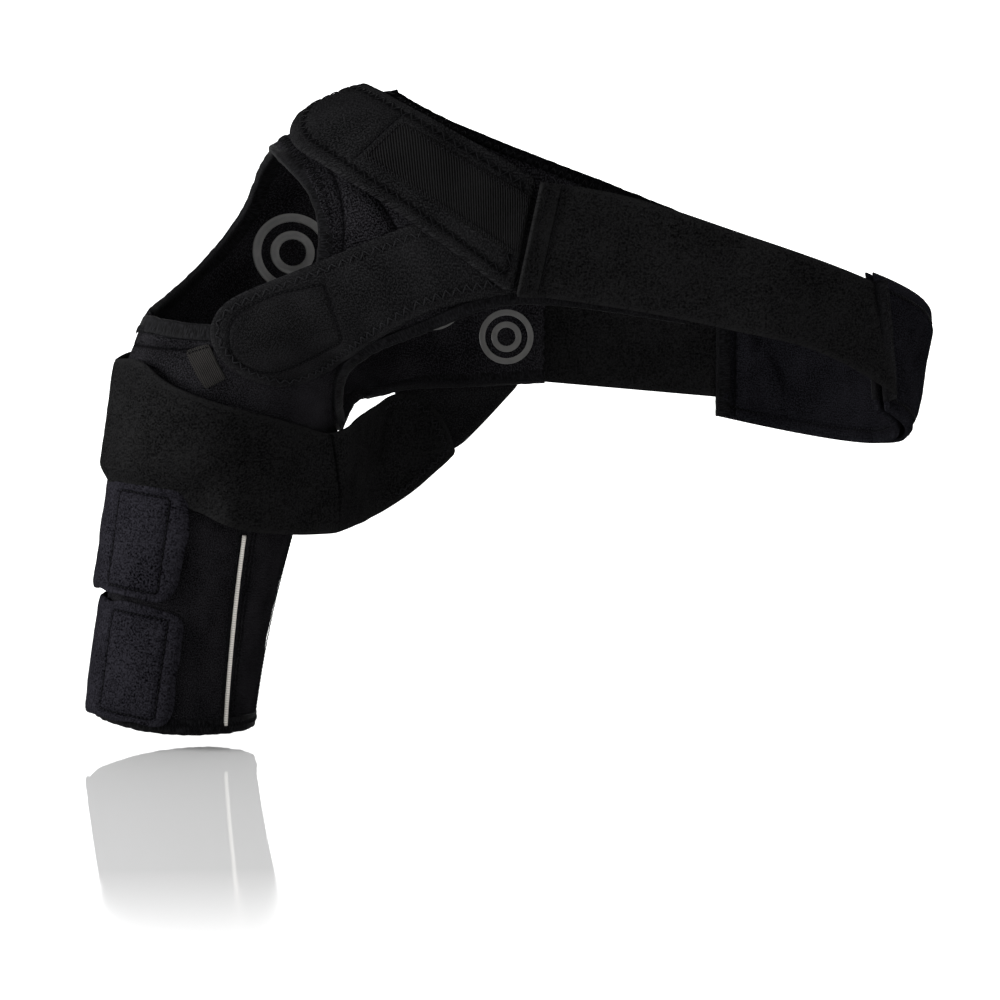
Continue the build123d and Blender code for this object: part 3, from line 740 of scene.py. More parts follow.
def settle(piece, faces, cap=1.6):
    """Lets padded cloth fill out and crease between its seams, in a short simulation. faces is how
    many of its points are on the outer face; edges, seams and the inner face are held."""
    data = piece.data
    start, held = np.zeros(len(data.vertices) * 3), np.ones(len(data.vertices))
    data.vertices.foreach_get("co", start)
    near, rows = np.zeros(len(held)), np.zeros(len(held))
    data.attributes["near_edge"].data.foreach_get("value", near)
    data.attributes["sewn"].data.foreach_get("value", rows)
    held[:faces] = np.clip(np.maximum(3 * near, 3 * rows), 0, 1)[:faces]
    group = piece.vertex_groups.new(name="held")
    for k, weight in enumerate(held):
        group.add([k], float(weight), "REPLACE")
    cloth_sim = piece.modifiers.new("settle", "CLOTH")
    rules = cloth_sim.settings
    rules.vertex_group_mass = "held"
    rules.mass, rules.quality = 0.002, 5
    rules.use_pressure, rules.uniform_pressure_force = True, 4.0
    rules.shrink_min = -0.06
    rules.effector_weights.gravity = 0.0
    cloth_sim.collision_settings.use_collision = False
    scene = bpy.context.scene
    for number in range(1, 21):
        scene.frame_set(number)
    posed = piece.evaluated_get(bpy.context.evaluated_depsgraph_get())
    end = np.zeros_like(start)
    posed.data.vertices.foreach_get("co", end)
    move = (end - start).reshape(-1, 3)
    far = np.linalg.norm(move, axis=1)[:, None]
    move *= np.minimum(1.0, cap * MM / np.maximum(far, 1e-9))
    piece.modifiers.remove(cloth_sim)
    scene.frame_set(1)
    data.vertices.foreach_set("co", start + move.ravel())
    data.update()


def volume(node):
    """The volume of a CAD node, in cubic millimetres."""
    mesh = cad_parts[node].data
    mesh.calc_loop_triangles()
    corners = np.array([vertex.co for vertex in mesh.vertices]) / MM
    faces = np.array([triangle.vertices for triangle in mesh.loop_triangles])
    a, b, c = (corners[faces[:, k]] for k in range(3))
    return abs(np.einsum("ij,ij->i", a, np.cross(b, c)).sum()) / 6


def cad_area(thickness, *nodes):
    """The flat area, in cm2, of the sheet that CAD nodes of one thickness are made from."""
    return sum(volume(node) for node in nodes) / thickness * MM2_IN_CM2


def seams(name, runs, place, out, body, material=THREAD_BLACK, thread=THREAD):
    """Stitching that rides with the cloth it is sewn through."""
    obj = stitches(name, runs, place, out, material, thread)
    return dress(obj, "binding_tape", body)


# ------------------------------------------------------------------ shoulder panels
DELTOID_FRONT = [(-18, 251), (20, 246), (62, 250), (88, 280), (86, 318), (58, 350)]
DELTOID_BACK = [(-18, 251), (13, 282), (38, 315), (50, 340), (58, 350)]
ARMPIT = (97, 186)
FRONT_LOWER = [ARMPIT, (106, 221), (154, 244), (194, 258), (230, 258), (300, 248)]
BACK_LOWER = [ARMPIT, (105, 201), (130, 207), (175, 208.5), (222, 210.5)]
NECK_FRONT = [(122, 388), (159, 366), (203, 347), (252, 328), (300, 309)]
NECK_BACK = [(122, 388), (160, 368), (200, 340), (222, 290)]
YOKE_REACH = 42.0
YOKE_X = (40.0, 140.0)
TURN = math.pi * FLAT_RADIUS


def panel_limits(deltoid, neck, lower):
    """The outline of one shoulder panel seen from the front, as in the CAD model."""
    return np.vstack([
        spline(deltoid), [(deltoid[-1][0], 410), (neck[0][0], 410)], spline(neck),
        spline(lower)[::-1], [(80, 150), (-70, 150), (-70, 251)],
    ])


def traced(points, side):
    """A smooth line on the body, from points (x, z) seen from the front."""
    flat = from_front(resample(spline(points), 2.0), 2.0, side)
    smooth = flat.copy()
    for _ in range(6):
        smooth[1:-1] = (smooth[:-2] + 2 * smooth[1:-1] + smooth[2:]) / 4
    return smooth


deltoid_edge = np.vstack([traced(DELTOID_FRONT, 1), traced(DELTOID_BACK, -1)[::-1][1:-1]])
neck_front = traced(NECK_FRONT, 1)[::-1]
neck_edge = np.vstack([neck_front, traced(NECK_BACK, -1)[1:]])
back_lower = traced(BACK_LOWER, -1) + [0, 2 * TURN]
front_lower = traced(FRONT_LOWER, 1)
lower_edge = np.vstack([front_lower[::-1], back_lower[1:]])
for line, joint in ((lower_edge, len(front_lower)), (neck_edge, len(neck_front))):
    for _ in range(12):
        span = line[joint - 8:joint + 8]
        span[1:-1] = (span[:-2] + 2 * span[1:-1] + span[2:]) / 4
deltoid_row = beside(np.vstack([deltoid_edge, deltoid_edge[:1]]), 12.0)
panel_seam = body_line(spline([(96, 350), (110, 335), (121, 322), (135, 300), (139, 288)]), 2.0)


def shoulder_relief(flat):
    """Soft folds, and the sunken seam where the front panel is joined."""
    folds = wrinkle(flat, 34.0, 1.1, 4.2) + wrinkle(flat, 11.0, 0.22, 9.1)
    return folds + groove(flat, panel_seam, 1.3) + groove(flat, deltoid_row, 1.0)


front_limits = panel_limits(DELTOID_FRONT, NECK_FRONT, FRONT_LOWER)
back_limits = panel_limits(DELTOID_BACK, NECK_BACK, BACK_LOWER)
sleeve_top = FORM_ALONG[SLEEVE_TOP]
shell_end = FORM_ALONG[-1]


def in_yoke(place):
    return (np.abs(place[:, 1]) < YOKE_REACH) & (place[:, 2] > 315) & (place[:, 0] < YOKE_X[1])


def keep_panel(which):
    def keep(flat):
        place = on_form(flat, 2.0)
        in_front = flat[:, 1] > 0
        seen = place[:, [0, 2]]
        held = np.where(in_front, inside(seen, front_limits), inside(seen, back_limits))
        yoke = in_yoke(place)
        part = {"yoke": yoke, "front": in_front & ~yoke, "back": ~in_front & ~yoke}[which]
        return held & part & (flat[:, 0] > sleeve_top)
    return keep


def yoke_line(side):
    """Where the yoke meets a panel."""
    along = np.linspace(FORM_ALONG[8] - 40, FORM_ALONG[11], 60)
    depth = hermite(along, FORM_ALONG, FORM_SECTIONS[:, 4]) + 2
    return np.column_stack([along, side * np.arcsin(YOKE_REACH / depth) * FLAT_RADIUS])


ridge = np.column_stack([np.linspace(sleeve_top, shell_end, 160), np.zeros(160)])
border = np.array([(sleeve_top, -TURN), (shell_end, -TURN), (shell_end, TURN), (sleeve_top, TURN)])
panel_lines = [
    (border, True), (deltoid_edge, True), (neck_edge, False), (front_lower, False),
    (back_lower - [0, 2 * TURN], False), (ridge, False), (yoke_line(1), False), (yoke_line(-1), False),
]
# Each panel's length and width in the flat, and the area of its edges inside the tapes. Front and
# back have half each of the tapes that they share, and the yoke's ends are a guess.
shared_edges = cad_area(BOUND_EDGE, "deltoid_binding", "neck_binding") / 2
panel_cuts = {
    "front": (334, 250, shared_edges + cad_area(BOUND_EDGE, "front_lower_binding")),
    "back": (256, 250, shared_edges + cad_area(BOUND_EDGE, "back_lower_binding")),
    "yoke": (86, 97, 7.0),
}
sewn_lines = {"front": [panel_seam, deltoid_row], "back": [deltoid_row], "yoke": [deltoid_row]}
for part, node in (("front", "front_panel"), ("back", "back_panel"), ("yoke", "shoulder_yoke")):
    rows = [(beside(resample(line, 1.5), shift), False) for line in sewn_lines[part]
            for shift in (-GROOVE_HALF, 0.01, GROOVE_HALF)]
    shape = fill(panel_lines + rows, 3.2, keep_panel(part))
    piece = slab(f"{part}_neoprene", shape, on_form, 0.0, PANEL, NEOPRENE, shoulder_relief, rim=0.8,
                 sewn=sewn_lines[part])
    dress(piece, "panel_fabric", "root", node)
    length, width, edges = panel_cuts[part]
    round(cad_area(PANEL, node) + edges)

seams("front_panel_seam_stitches", [lockstitch(beside(panel_seam, 3.0), 2.6)],
      on_form, over(PANEL, shoulder_relief, 0.15), "root")

# Sleeve: one tube, sewn together along the inside of the arm
hem = FORM_ALONG[1]
turns = np.linspace(-TURN, TURN, 200)
hem_angle = turns / FLAT_RADIUS
hem_line = np.column_stack([hem + 7.8 - 2.5 * np.cos(hem_angle) + 1.8 * np.cos(2 * hem_angle), turns])
SEAM_LAP = 1.3           # the tube's two edges meet with a small overlap
sleeve_outline = np.vstack([
    [(hem_line[0, 0] + 1, -TURN - SEAM_LAP)],
    hem_line + [1.0, 0],
    [(hem_line[-1, 0] + 1, TURN + SEAM_LAP)],
    [(sleeve_top, TURN + SEAM_LAP), (sleeve_top, -TURN - SEAM_LAP)],
])


PIPING_LOW = (14.0, 132.8)      # height up the sleeve, angle round it
PIPING_HIGH = (128.0, 121.0)


def up_sleeve(low, high, shift=0.0):
    """A straight line up the sleeve in the flat, shifted round it."""
    heights = np.linspace(low[0], high[0], 60)
    angles = np.linspace(low[1], high[1], 60)
    return np.column_stack([hem + heights, np.radians(angles) * FLAT_RADIUS + shift])


sleeve_seams = [up_sleeve(PIPING_LOW, PIPING_HIGH, shift) for shift in (9.0, 13.0)]


def sleeve_relief(flat):
    ease = np.clip((flat[:, 0] - hem) / 25, 0, 1)
    height = (wrinkle(flat, 30.0, 1.1, 1.3) + wrinkle(flat, 12.0, 0.3, 5.3)) * ease
    for line in sleeve_seams:
        height += groove(flat, line, 0.8)
    return height


piece = slab("sleeve_neoprene", cut(sleeve_outline, 3.2, sleeve_seams), on_form, 0.0, PANEL,
             NEOPRENE, sleeve_relief, rim=0.6, sewn=sleeve_seams)
dress(piece, "panel_fabric", "root", "arm_sleeve")
sleeve_area = cad_area(PANEL, "arm_sleeve") + cad_area(BOUND_EDGE, "sleeve_hem_binding")


# ------------------------------------------------------------------ bound edges
def tape_profile(width, low, high, side=1, steps=4):
    """The section of a binding folded over an edge at 0, reaching width over the cloth."""
    corners = [(-BINDING, low), (width, low), (width, high), (-BINDING, high)]
    outline = rounded(corners, [2.0, 0.5, 0.5, 2.0], steps)
    outline[:, 0] *= side
    return outline if side > 0 else outline[::-1]


def bind(name, line, closed, side, slot="binding_tape", body="root", nodes=(), width=BINDING_WIDTH,
         place=on_form, low=-BINDING, high=PANEL + BINDING, tape=TAPE):
    """A binding along an edge, with its zigzag stitching."""
    line = resample(line, 2.2, closed)
    piece = sweep(name, line, place, tape_profile(width, low, high, side), tape, 0.0, closed, 0.10)
    dress(piece, slot, body, *nodes)
    middle = beside(line, side * width * 0.55)
    seams(name + "_stitches", [zigzag(middle, 3.4, 2.3, closed)], place, high + 0.05, body)
    return piece


bind("deltoid_binding_tape", deltoid_edge, True, 1, nodes=("deltoid_binding",), width=9.5)
# The neck binding takes the darker copy of the tape: painted shade.
bind("neck_binding_tape", neck_edge, False, -1, nodes=("neck_binding",), tape=SHADED_TAPE)
bind("lower_binding_tape", lower_edge, False, 1, nodes=("front_lower_binding", "back_lower_binding"))


def place_lines(name, lines, place, out, body, pitch=3.0):
    """Straight stitching along several lines in the flat."""
    return seams(name, [lockstitch(line, pitch) for line in lines], place, out, body)


# ------------------------------------------------------------------ sleeve trim
bind("hem_binding_tape", hem_line, False, -1, nodes=("sleeve_hem_binding",), width=9.0, low=-0.3)


def round_profile(radius, sides=10):
    turn = np.linspace(0, 2 * math.pi, sides, endpoint=False)
    return np.column_stack([radius * np.cos(turn), radius * np.sin(turn)])


piping_line = up_sleeve(PIPING_LOW, PIPING_HIGH)
piece = sweep("reflective_cord", resample(piping_line, 2.0), on_form, round_profile(1.25), CORD,
              PANEL + 1.0, ripple=0.10)
dress(piece, "reflective_cord", "root", "reflective_piping")
tunnel = rounded([(-3.4, -0.3), (3.4, -0.3), (1.5, 0.75), (-1.5, 0.75)], [0.3, 0.5, 0.6, 0.5], 4)
piece = sweep("piping_tunnel", resample(piping_line, 2.0), on_form, tunnel, TAPE, PANEL, ripple=0.06)
dress(piece, "binding_tape", "root")
place_lines("sleeve_seam_stitches", sleeve_seams + [up_sleeve(PIPING_LOW, PIPING_HIGH, -4.6)], on_form,
            over(PANEL, sleeve_relief), "root")
inner_seam = np.column_stack([np.linspace(hem + 18, sleeve_top, 70), np.full(70, TURN)])
seams("inner_seam_stitches", [zigzag(inner_seam, 4.5, 2.2)], on_form, PANEL + 0.1, "root")


# ------------------------------------------------------------------ cuff straps
CUFF_FLAT = 60.0
# Each strap: its lower and upper edge, its radius, the angle of its end and those of its hook patch
CUFF_STRAPS = {
    "lower": (8.0, 78.0, 54.3, 89.0, (38.0, 79.0)),
    "upper": (82.0, 149.0, 59.0, 84.0, (35.0, 72.0)),
}
CUFF_BACK = -96.0


def cuff_x(angle):
    return math.radians(angle) * CUFF_FLAT


for name, (low, high, radius, end, patch) in CUFF_STRAPS.items():
    outline = rounded([(cuff_x(CUFF_BACK), low), (cuff_x(CUFF_BACK), high), (cuff_x(end), high),
                       (cuff_x(end), low)], [3, 3, 15, 15], 10)
    outline = ragged(outline, 16.0, 2.4, radius)
    near, far = cuff_x(patch[0]), cuff_x(patch[1])
    patch_line = rounded([(near, low + 5), (near, high - 5.5), (far, high - 5.5), (far, low + 5)], 3)
    patch_line = np.vstack([patch_line, patch_line[:1]])
    patch_line = resample(patch_line, 1.5)

    def tab_relief(flat, patch_line=patch_line, outline=outline, seed=radius):
        swell = 0.9 * (1 - np.exp(-distance(flat, resample(outline, 1.5, True)) / 4.0))
        return (swell + groove(flat, patch_line, 0.9) + wrinkle(flat, 24.0, 1.0, seed)
                + wrinkle(flat, 7.0, 0.25, seed))

    piece = slab(f"{name}_cuff_strap_cloth", cut(outline, 2.4, [patch_line]), on_cuff, radius,
                 radius + STRAP, TAB_FACE, tab_relief, rim=1.9, sewn=[patch_line])
    dress(piece, "tab_fabric", None, f"{name}_cuff_strap", f"{name}_cuff_tab")
    middle = (low + high) / 2
    start, finish = on_cuff([(cuff_x(-14), middle), (cuff_x(14), middle)], radius) * MM
    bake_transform(piece)
    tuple(start)
    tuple(finish)
    cuff_area = cad_area(STRAP, f"{name}_cuff_strap", f"{name}_cuff_tab")
    place_lines(f"{name}_patch_stitches", [patch_line], on_cuff, over(radius + STRAP, tab_relief),
                f"{name}_cuff_flap")
    hooks = rounded([(near, low + 7), (near, high - 7), (far, high - 7), (far, low + 7)], 4)
    piece = slab(f"{name}_cuff_hooks", cut(hooks, 3.0), on_cuff, radius - 0.8, radius - 0.1,
                 HOOK_FACE, rim=0.4)
    dress(piece, "hook_patch", f"{name}_cuff_flap", f"{name}_cuff_tab_hook")


# ------------------------------------------------------------------ arm strap
ARM_STRAP_LEVEL = 100.0
ARM_STRAP_RADIUS = 67.4
ARM_STRAP_BACK_Y = 104.6
ARM_STRAP_HALF = 1.2
ARM_LEAVE_ANGLE = 310.0
HOOKS_Y = 105.9          # where the hook patch and the sewn flap lie behind the back panel
FLAP_Y = 106.9


def strap_path():
    """The arm strap seen from above: from behind the arm, round its front, then to the back."""
    centre = (ARM_STRAP_LEVEL * AXIS[0] / AXIS[2], 0.0)
    round_arm = arc(centre, ARM_STRAP_RADIUS, 100, ARM_LEAVE_ANGLE, 120)
    corners = [round_arm[-1], (92, -20.5)] + [(x, ARM_STRAP_BACK_Y) for x in (112, 164, 180)]
    bent = rounded(corners, [0, 7, 30, 0, 0], 16)
    return np.vstack([round_arm, bent[1:]])


ARM_PLAN = Plan(strap_path())
ARM_LEFT = int(ARM_PLAN.points[:, 0].argmin())
ARM_TURN = int(np.argmax((ARM_PLAN.points[:, 0] > 86)))
ARM_OVER = 165.0         # above this height the strap lies outside the upper cuff tab, below it inside
ARM_TUCK = 8.0


def on_strap(flat, out):
    """Along the arm strap: flat x is the way along it, flat y the height."""
    flat = np.atleast_2d(flat)
    out = np.broadcast_to(out, len(flat)).astype(float)
    under = np.clip((ARM_OVER - flat[:, 1]) / 17.0, 0, 1)
    near = np.clip((tab_end_along + 20 - flat[:, 0]) / 22.0, 0, 1)
    tuck = ARM_TUCK * under * under * (3 - 2 * under) * near * near * (3 - 2 * near)
    seen = ARM_PLAN.at(flat[:, 0], out - tuck)
    lean = (flat[:, 1] - ARM_STRAP_LEVEL) * AXIS[0] / AXIS[2]
    return np.column_stack([seen[:, 0] + lean, seen[:, 1], flat[:, 1]])


def strap_along(x, z, first, last):
    """The way along the arm strap of a point seen from the front, between two points of its path."""
    level = x - (z - ARM_STRAP_LEVEL) * AXIS[0] / AXIS[2]
    span = ARM_PLAN.points[first:last, 0]
    return ARM_PLAN.along[first + int(np.abs(span - level).argmin())]


tab_end_along = strap_along(22, 150, ARM_LEFT, ARM_TURN)
BEHIND, ROUND, BACKWARDS = (0, ARM_LEFT + 1), (ARM_LEFT, ARM_TURN + 1), (ARM_TURN, len(ARM_PLAN.points))
STRAP_TOP = [
    (4, 236, BEHIND), (-25, 231, BEHIND), (-48, 226, BEHIND), (-38, 226, ROUND), (-17, 225, ROUND),
    (0, 213, ROUND), (24, 203, ROUND), (54, 194.5, ROUND), (78, 187, ROUND), (93, 182.5, ROUND),
    (107, 189, BACKWARDS), (122, 199, BACKWARDS), (136, 203, BACKWARDS), (147, 199, BACKWARDS),
    (157, 189, BACKWARDS), (163, 177, BACKWARDS), (166, 165, BACKWARDS),
]
STRAP_BOTTOM = [
    (161, 159, BACKWARDS), (154, 153, BACKWARDS), (142, 143, BACKWARDS), (130, 134.5, BACKWARDS),
    (116, 126.5, BACKWARDS), (104, 123, BACKWARDS), (90, 122, ROUND), (73, 122.5, ROUND),
    (45, 126, ROUND), (33, 130, ROUND), (22, 135, ROUND), (5, 140, ROUND), (-30, 142, ROUND),
    (-48, 144, BEHIND), (-25, 148, BEHIND), (4, 152, BEHIND),
]


def strap_line(points):
    return spline([(strap_along(x, z, *span), z) for x, z, span in points])


strap_top, strap_bottom = strap_line(STRAP_TOP), strap_line(STRAP_BOTTOM)
strap_outline = np.vstack([strap_top, strap_bottom])


# The strap folds sharply where it leaves the arm
strap_fold = np.array([(strap_along(x, z, ARM_LEFT, len(ARM_PLAN.points)), z)
                       for x, z in ((93, 190), (96.5, 120))])


def strap_relief(flat):
    return (groove(flat, strap_fold, 1.6) + wrinkle(flat, 30.0, 1.2, 6.0) + wrinkle(flat, 8.0, 0.25, 2.0)
            + 0.5 * (1 - np.exp(-distance(flat, resample(strap_outline, 2, True)) / 3.0)))


piece = slab("arm_strap_cloth", cut(strap_outline, 2.6, [strap_fold]), on_strap, -ARM_STRAP_HALF,
             ARM_STRAP_HALF, PLUSH_ELASTIC, strap_relief, rim=1.5, sewn=[strap_fold])
dress(piece, "elastic_weave", None, "arm_strap", "arm_strap_tab")
peel = ARM_PLAN.along[-1] - 44.0
start, finish = on_strap([(peel - 10, 170), (peel + 12, 170)], 0) * MM
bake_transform(piece)
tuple(start)
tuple(finish)
arm_strap_area = cad_area(2 * ARM_STRAP_HALF, "arm_strap", "arm_strap_tab")
end_border = strap_line(STRAP_TOP[11:] + STRAP_BOTTOM[:4])
end_border = beside(resample(end_border, 2.0), -5.5)
seams("arm_strap_end_stitches", [zigzag(end_border, 2.6, 2.4)], on_strap,
      over(ARM_STRAP_HALF, strap_relief), "arm_strap_end", THREAD_GREY)


def on_back(y):
    """A place function for cloth that lies flat across the back: flat is (x, z) seen from the front."""
    def place(flat, out):
        flat = np.atleast_2d(flat)
        return np.column_stack([flat[:, 0], y + np.broadcast_to(out, len(flat)), flat[:, 1]])
    return place


hook_patch = rounded([(141, 162), (157, 162), (157, 188), (141, 188)], 4)
piece = slab("arm_strap_hooks", cut(hook_patch, 2.5), on_back(HOOKS_Y), 0.0, 0.8, HOOK_FACE, rim=0.4)
dress(piece, "hook_patch", "arm_strap_end", "arm_strap_tab_hook")
ARM_FLAP = [(128, 232), (128, 182), (138, 169), (152, 163), (168, 168), (184, 184), (206, 208),
            (206, 232)]
flap_outline = rounded(ARM_FLAP, [2, 12, 8, 10, 10, 10, 4, 2])


def flap_relief(flat):
    return wrinkle(flat, 20.0, 0.6, 8.0) + groove(flat, inset(flap_outline, 5.0), 0.4)


piece = slab("arm_strap_flap_cloth", cut(flap_outline, 2.6), on_back(FLAP_Y), 0.0, STRAP,
             WING_FACE, flap_relief, rim=1.5)
dress(piece, "panel_fabric", "root", "arm_strap_flap")
cad_area(STRAP, "arm_strap_flap")
flap_edge = inset(flap_outline, 5.0)
seams("arm_flap_stitches", [zigzag(flap_edge, 2.6, 2.6)], on_back(FLAP_Y),
      over(0, flap_relief, -0.2), "root")


# ------------------------------------------------------------------ wings
def on_body_outline(points, out, soften=3):
    """A closed outline on the body's front from points (x, z)."""
    flat = from_front(points, out, 1)
    for _ in range(soften):
        flat = (np.roll(flat, 1, axis=0) + 2 * flat + np.roll(flat, -1, axis=0)) / 4
    return flat


tip = spline([(47, 266), (36.5, 260.5), (29, 253), (25.5, 243.5), (27.5, 233), (34, 224), (44, 216.5),
              (57, 211.5), (72, 210), (92, 218)])
LOWER_OUTLINE = np.vstack([
    tip, spline([(92, 218), (152.6, 253.5), (203, 265)])[1:],
    [(256, 257), (262, 300), (216, 318), (170, 312), (137, 301.5)],
])
lower_outline = on_body_outline(resample(LOWER_OUTLINE, 2.0, True), LOWER_WING + 1.5)
lower_border = inset(lower_outline, 5.0)
patch = rounded([(36.5, 250), (37, 226), (61, 216), (103, 237.5), (93, 270), (62, 264)],
                [14, 16, 12, 4, 4, 20], 8)
lower_patch = from_front(resample(patch, 2.0, True), LOWER_WING + 1.5, 1)
lower_patch = np.vstack([lower_patch, lower_patch[:1]])


def wing_relief(outline, lines, seed):
    border = resample(outline, 1.5, True)

    def relief(flat):
        height = 0.7 * (1 - np.exp(-distance(flat, border) / 3.5)) + wrinkle(flat, 26.0, 0.8, seed)
        height += wrinkle(flat, 8.0, 0.2, seed + 3)
        for line in lines:
            height += groove(flat, line, 0.8)
        return height
    return relief


lower_lines = [lower_border, lower_patch]
lower_relief = wing_relief(lower_outline, lower_lines, 12.0)
piece = slab("lower_wing_cloth", cut(lower_outline, 2.4, lower_lines), on_form, LOWER_WING,
             LOWER_WING + STRAP, WING_FACE, lower_relief, rim=1.6, sewn=[lower_patch])
dress(piece, "wing_fabric", None, "lower_wing_tab", "strap_junction")
start, finish = Vector((0.160, -0.105, 0.278)), Vector((0.130, -0.100, 0.268))
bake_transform(piece)
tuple(start)
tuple(finish)
cad_area(STRAP, "lower_wing_tab", "strap_junction")
beyond = on_form(lower_border, 8)[:, 0] >= 143
first = int(np.argmax(beyond & ~np.roll(beyond, 1)))
lower_border, beyond = np.roll(lower_border, -first, axis=0), np.roll(beyond, -first)
border_right, border_left = lower_border[beyond], lower_border[~beyond]

seams("lower_wing_border_stitches", [zigzag(resample(border_left, 2.0), 3.0, 3.2)], on_form,
      over(LOWER_WING + STRAP, lower_relief), "lower_wing", THREAD_GREY)
seams("junction_border_stitches", [zigzag(resample(border_right, 2.0), 3.0, 3.2)], on_form,
      over(LOWER_WING + STRAP, lower_relief), "front_loop", THREAD_GREY)
place_lines("lower_wing_patch_stitches", [lower_patch], on_form,
            over(LOWER_WING + STRAP, lower_relief), "lower_wing")
hooks = inset(lower_patch[:-1], 2.0)
piece = slab("lower_wing_hooks", cut(hooks, 3.0), on_form, LOWER_WING - 0.9, LOWER_WING - 0.1,
             HOOK_FACE, rim=0.4)
dress(piece, "hook_patch", "lower_wing", "lower_wing_hook")

UPPER_OUTLINE = np.vstack([
    spline([(201, 263), (136.6, 310), (76, 348.5)]),
    spline([(72.5, 352), (70.5, 359), (73, 368), (80, 378), (90, 385.5), (99, 390)]),
    spline([(109, 390), (122, 384), (140, 373.5), (162, 361), (190, 345), (214.5, 330)]),
])
upper_outline = on_body_outline(resample(UPPER_OUTLINE, 2.0, True), UPPER_WING + 1.5)
upper_outline[:, 1] = np.maximum(upper_outline[:, 1], 3.0)
upper_border = inset(upper_outline, 5.5)
hook_end = body_line([(112, 343), (137.5, 367)], UPPER_WING + 1.5)
upper_lines = [upper_border, hook_end]
upper_relief = wing_relief(upper_outline, upper_lines, 15.0)
piece = slab("upper_wing_cloth", cut(upper_outline, 2.4, upper_lines), on_form, UPPER_WING,
             UPPER_WING + STRAP, WING_FACE, upper_relief, rim=1.6, sewn=upper_lines)
dress(piece, "wing_fabric", None, "upper_wing_tab")
start, finish = Vector((0.212, -0.112, 0.293)), Vector((0.186, -0.110, 0.306))
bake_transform(piece)
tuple(start)
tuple(finish)
cad_area(STRAP, "upper_wing_tab")
seams("upper_wing_border_stitches", [zigzag(resample(upper_border, 2.0), 3.0, 3.2)], on_form,
      over(UPPER_WING + STRAP, upper_relief), "upper_wing")
place_lines("upper_wing_hook_end_stitches", [hook_end], on_form, over(UPPER_WING + STRAP, upper_relief),
            "upper_wing")
UPPER_HOOKS = [(118, 341), (84, 358), (82, 371), (94, 381), (110, 378), (126, 366)]
hooks = on_body_outline(resample(UPPER_HOOKS, 2.0, True), UPPER_WING)
piece = slab("upper_wing_hooks", cut(hooks, 3.0), on_form, UPPER_WING - 0.9, UPPER_WING - 0.1,
             HOOK_FACE, rim=0.4)
dress(piece, "hook_patch", "upper_wing", "upper_wing_hook")

WEBBING_OUTLINE = [(204.5, 284), (114.5, 342.5), (136.5, 363.5), (212, 319)]
webbing_outline = on_body_outline(resample(WEBBING_OUTLINE, 2.0, True), UPPER_WING + STRAP, 0)
piece = slab("upper_wing_webbing_cloth", cut(webbing_outline, 2.6), on_form, UPPER_WING + STRAP + 0.3,
             UPPER_WING + STRAP + 1.2, WEBBING, lambda flat: wrinkle(flat, 30.0, 0.8, 15.0), rim=0.6)
dress(piece, "ribbed_webbing", "upper_wing", "upper_wing_webbing")
webbing_edge = inset(webbing_outline, 1.6)
seams("webbing_stitches", [lockstitch(webbing_edge, 2.6)], on_form, UPPER_WING + STRAP + 1.4,
      "upper_wing")


# ------------------------------------------------------------------ chest loop
SLOT = ((407.0, 272.0), (422.0, 206.0))


def loop_line(points):
    """Points (x, z) on the front run, in the loop's flat."""
    return np.array([(loop_along(x, -1), z) for x, z in points])


elastic_top = spline(loop_line([(217, 328), (246, 324), (275, 317.5), (340, 296), (406, 272.5),
                                (412, 270)]))
elastic_foot = spline(loop_line([(424, 205), (418, 209), (371, 233), (328, 243), (285, 252),
                                 (219, 262), (203, 263)]))
elastic_outline = np.vstack([elastic_top, elastic_foot])


def elastic_relief(flat):
    ease = np.clip((loop_along(420, -1) - flat[:, 0]) / 20.0, 0, 1)
    return ease * (wrinkle(flat, 40.0, 1.6, 21.0) + wrinkle(flat, 9.0, 0.25, 22.0))


piece = slab("front_elastic_cloth", cut(elastic_outline, 2.6), on_loop, -ELASTIC / 2,
             ELASTIC / 2, PLUSH_ELASTIC, elastic_relief, rim=1.2)
dress(piece, "elastic_weave", None, "front_elastic")
slot_place = on_loop([(loop_along(419, -1), 236), (loop_along(404, -1), 240)], 0) * MM
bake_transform(piece)
round(cad_area(ELASTIC, "front_elastic"))

fold_outline = rounded(loop_line([(217.5, 328), (203, 262.5), (215, 261.5), (229, 326)]), 1.5)
fold_bead = resample(loop_line([(217, 327.5), (203.3, 263)]), 1.0)


def fold_relief(flat):
    across = distance(flat, fold_bead)
    bead = np.exp(-(across / 3.0) ** 2)
    return bead - 0.9 * np.clip((across - 6) / 7, 0, 1) + wrinkle(flat, 9.0, 0.4, 25.0)


piece = slab("front_elastic_fold_cloth", cut(fold_outline, 2.0), on_loop, ELASTIC / 2 - 0.2,
             ELASTIC / 2 + 2.2, PLUSH_ELASTIC, fold_relief, rim=1.8)
dress(piece, "elastic_weave", "front_loop", "front_elastic_fold")
for name, shift in (("fold", 4.4), ("elastic_end", 13.0)):
    line = loop_line([(217.3 + shift, 325.5), (203.2 + shift, 264.5)])
    out = ELASTIC / 2 + (2.3 if name == "fold" else 0.7)
    place_lines(f"{name}_stitches", [line], on_loop, out, "front_loop", 2.8)

# Back run: the elastic goes on from the pad to a seam on the back panel
BACK_SEAM_X = 222.5
PAD_BACK_X = 330.0
PAD_HALF = 37.5
back_elastic = loop_along(PAD_BACK_X + 12, 1)
seam_along = loop_along(BACK_SEAM_X, 1)
pad_end = loop_along(PAD_BACK_X, 1)
rear_outline = np.array([
    (back_elastic, 199), (back_elastic, 255), (seam_along, 275), (seam_along + 14, 277),
    (seam_along + 14, 212), (seam_along, 209.5),
])


def rear_relief(flat):
    return wrinkle(flat, 34.0, 1.0, 31.0) + wrinkle(flat, 9.0, 0.25, 32.0)


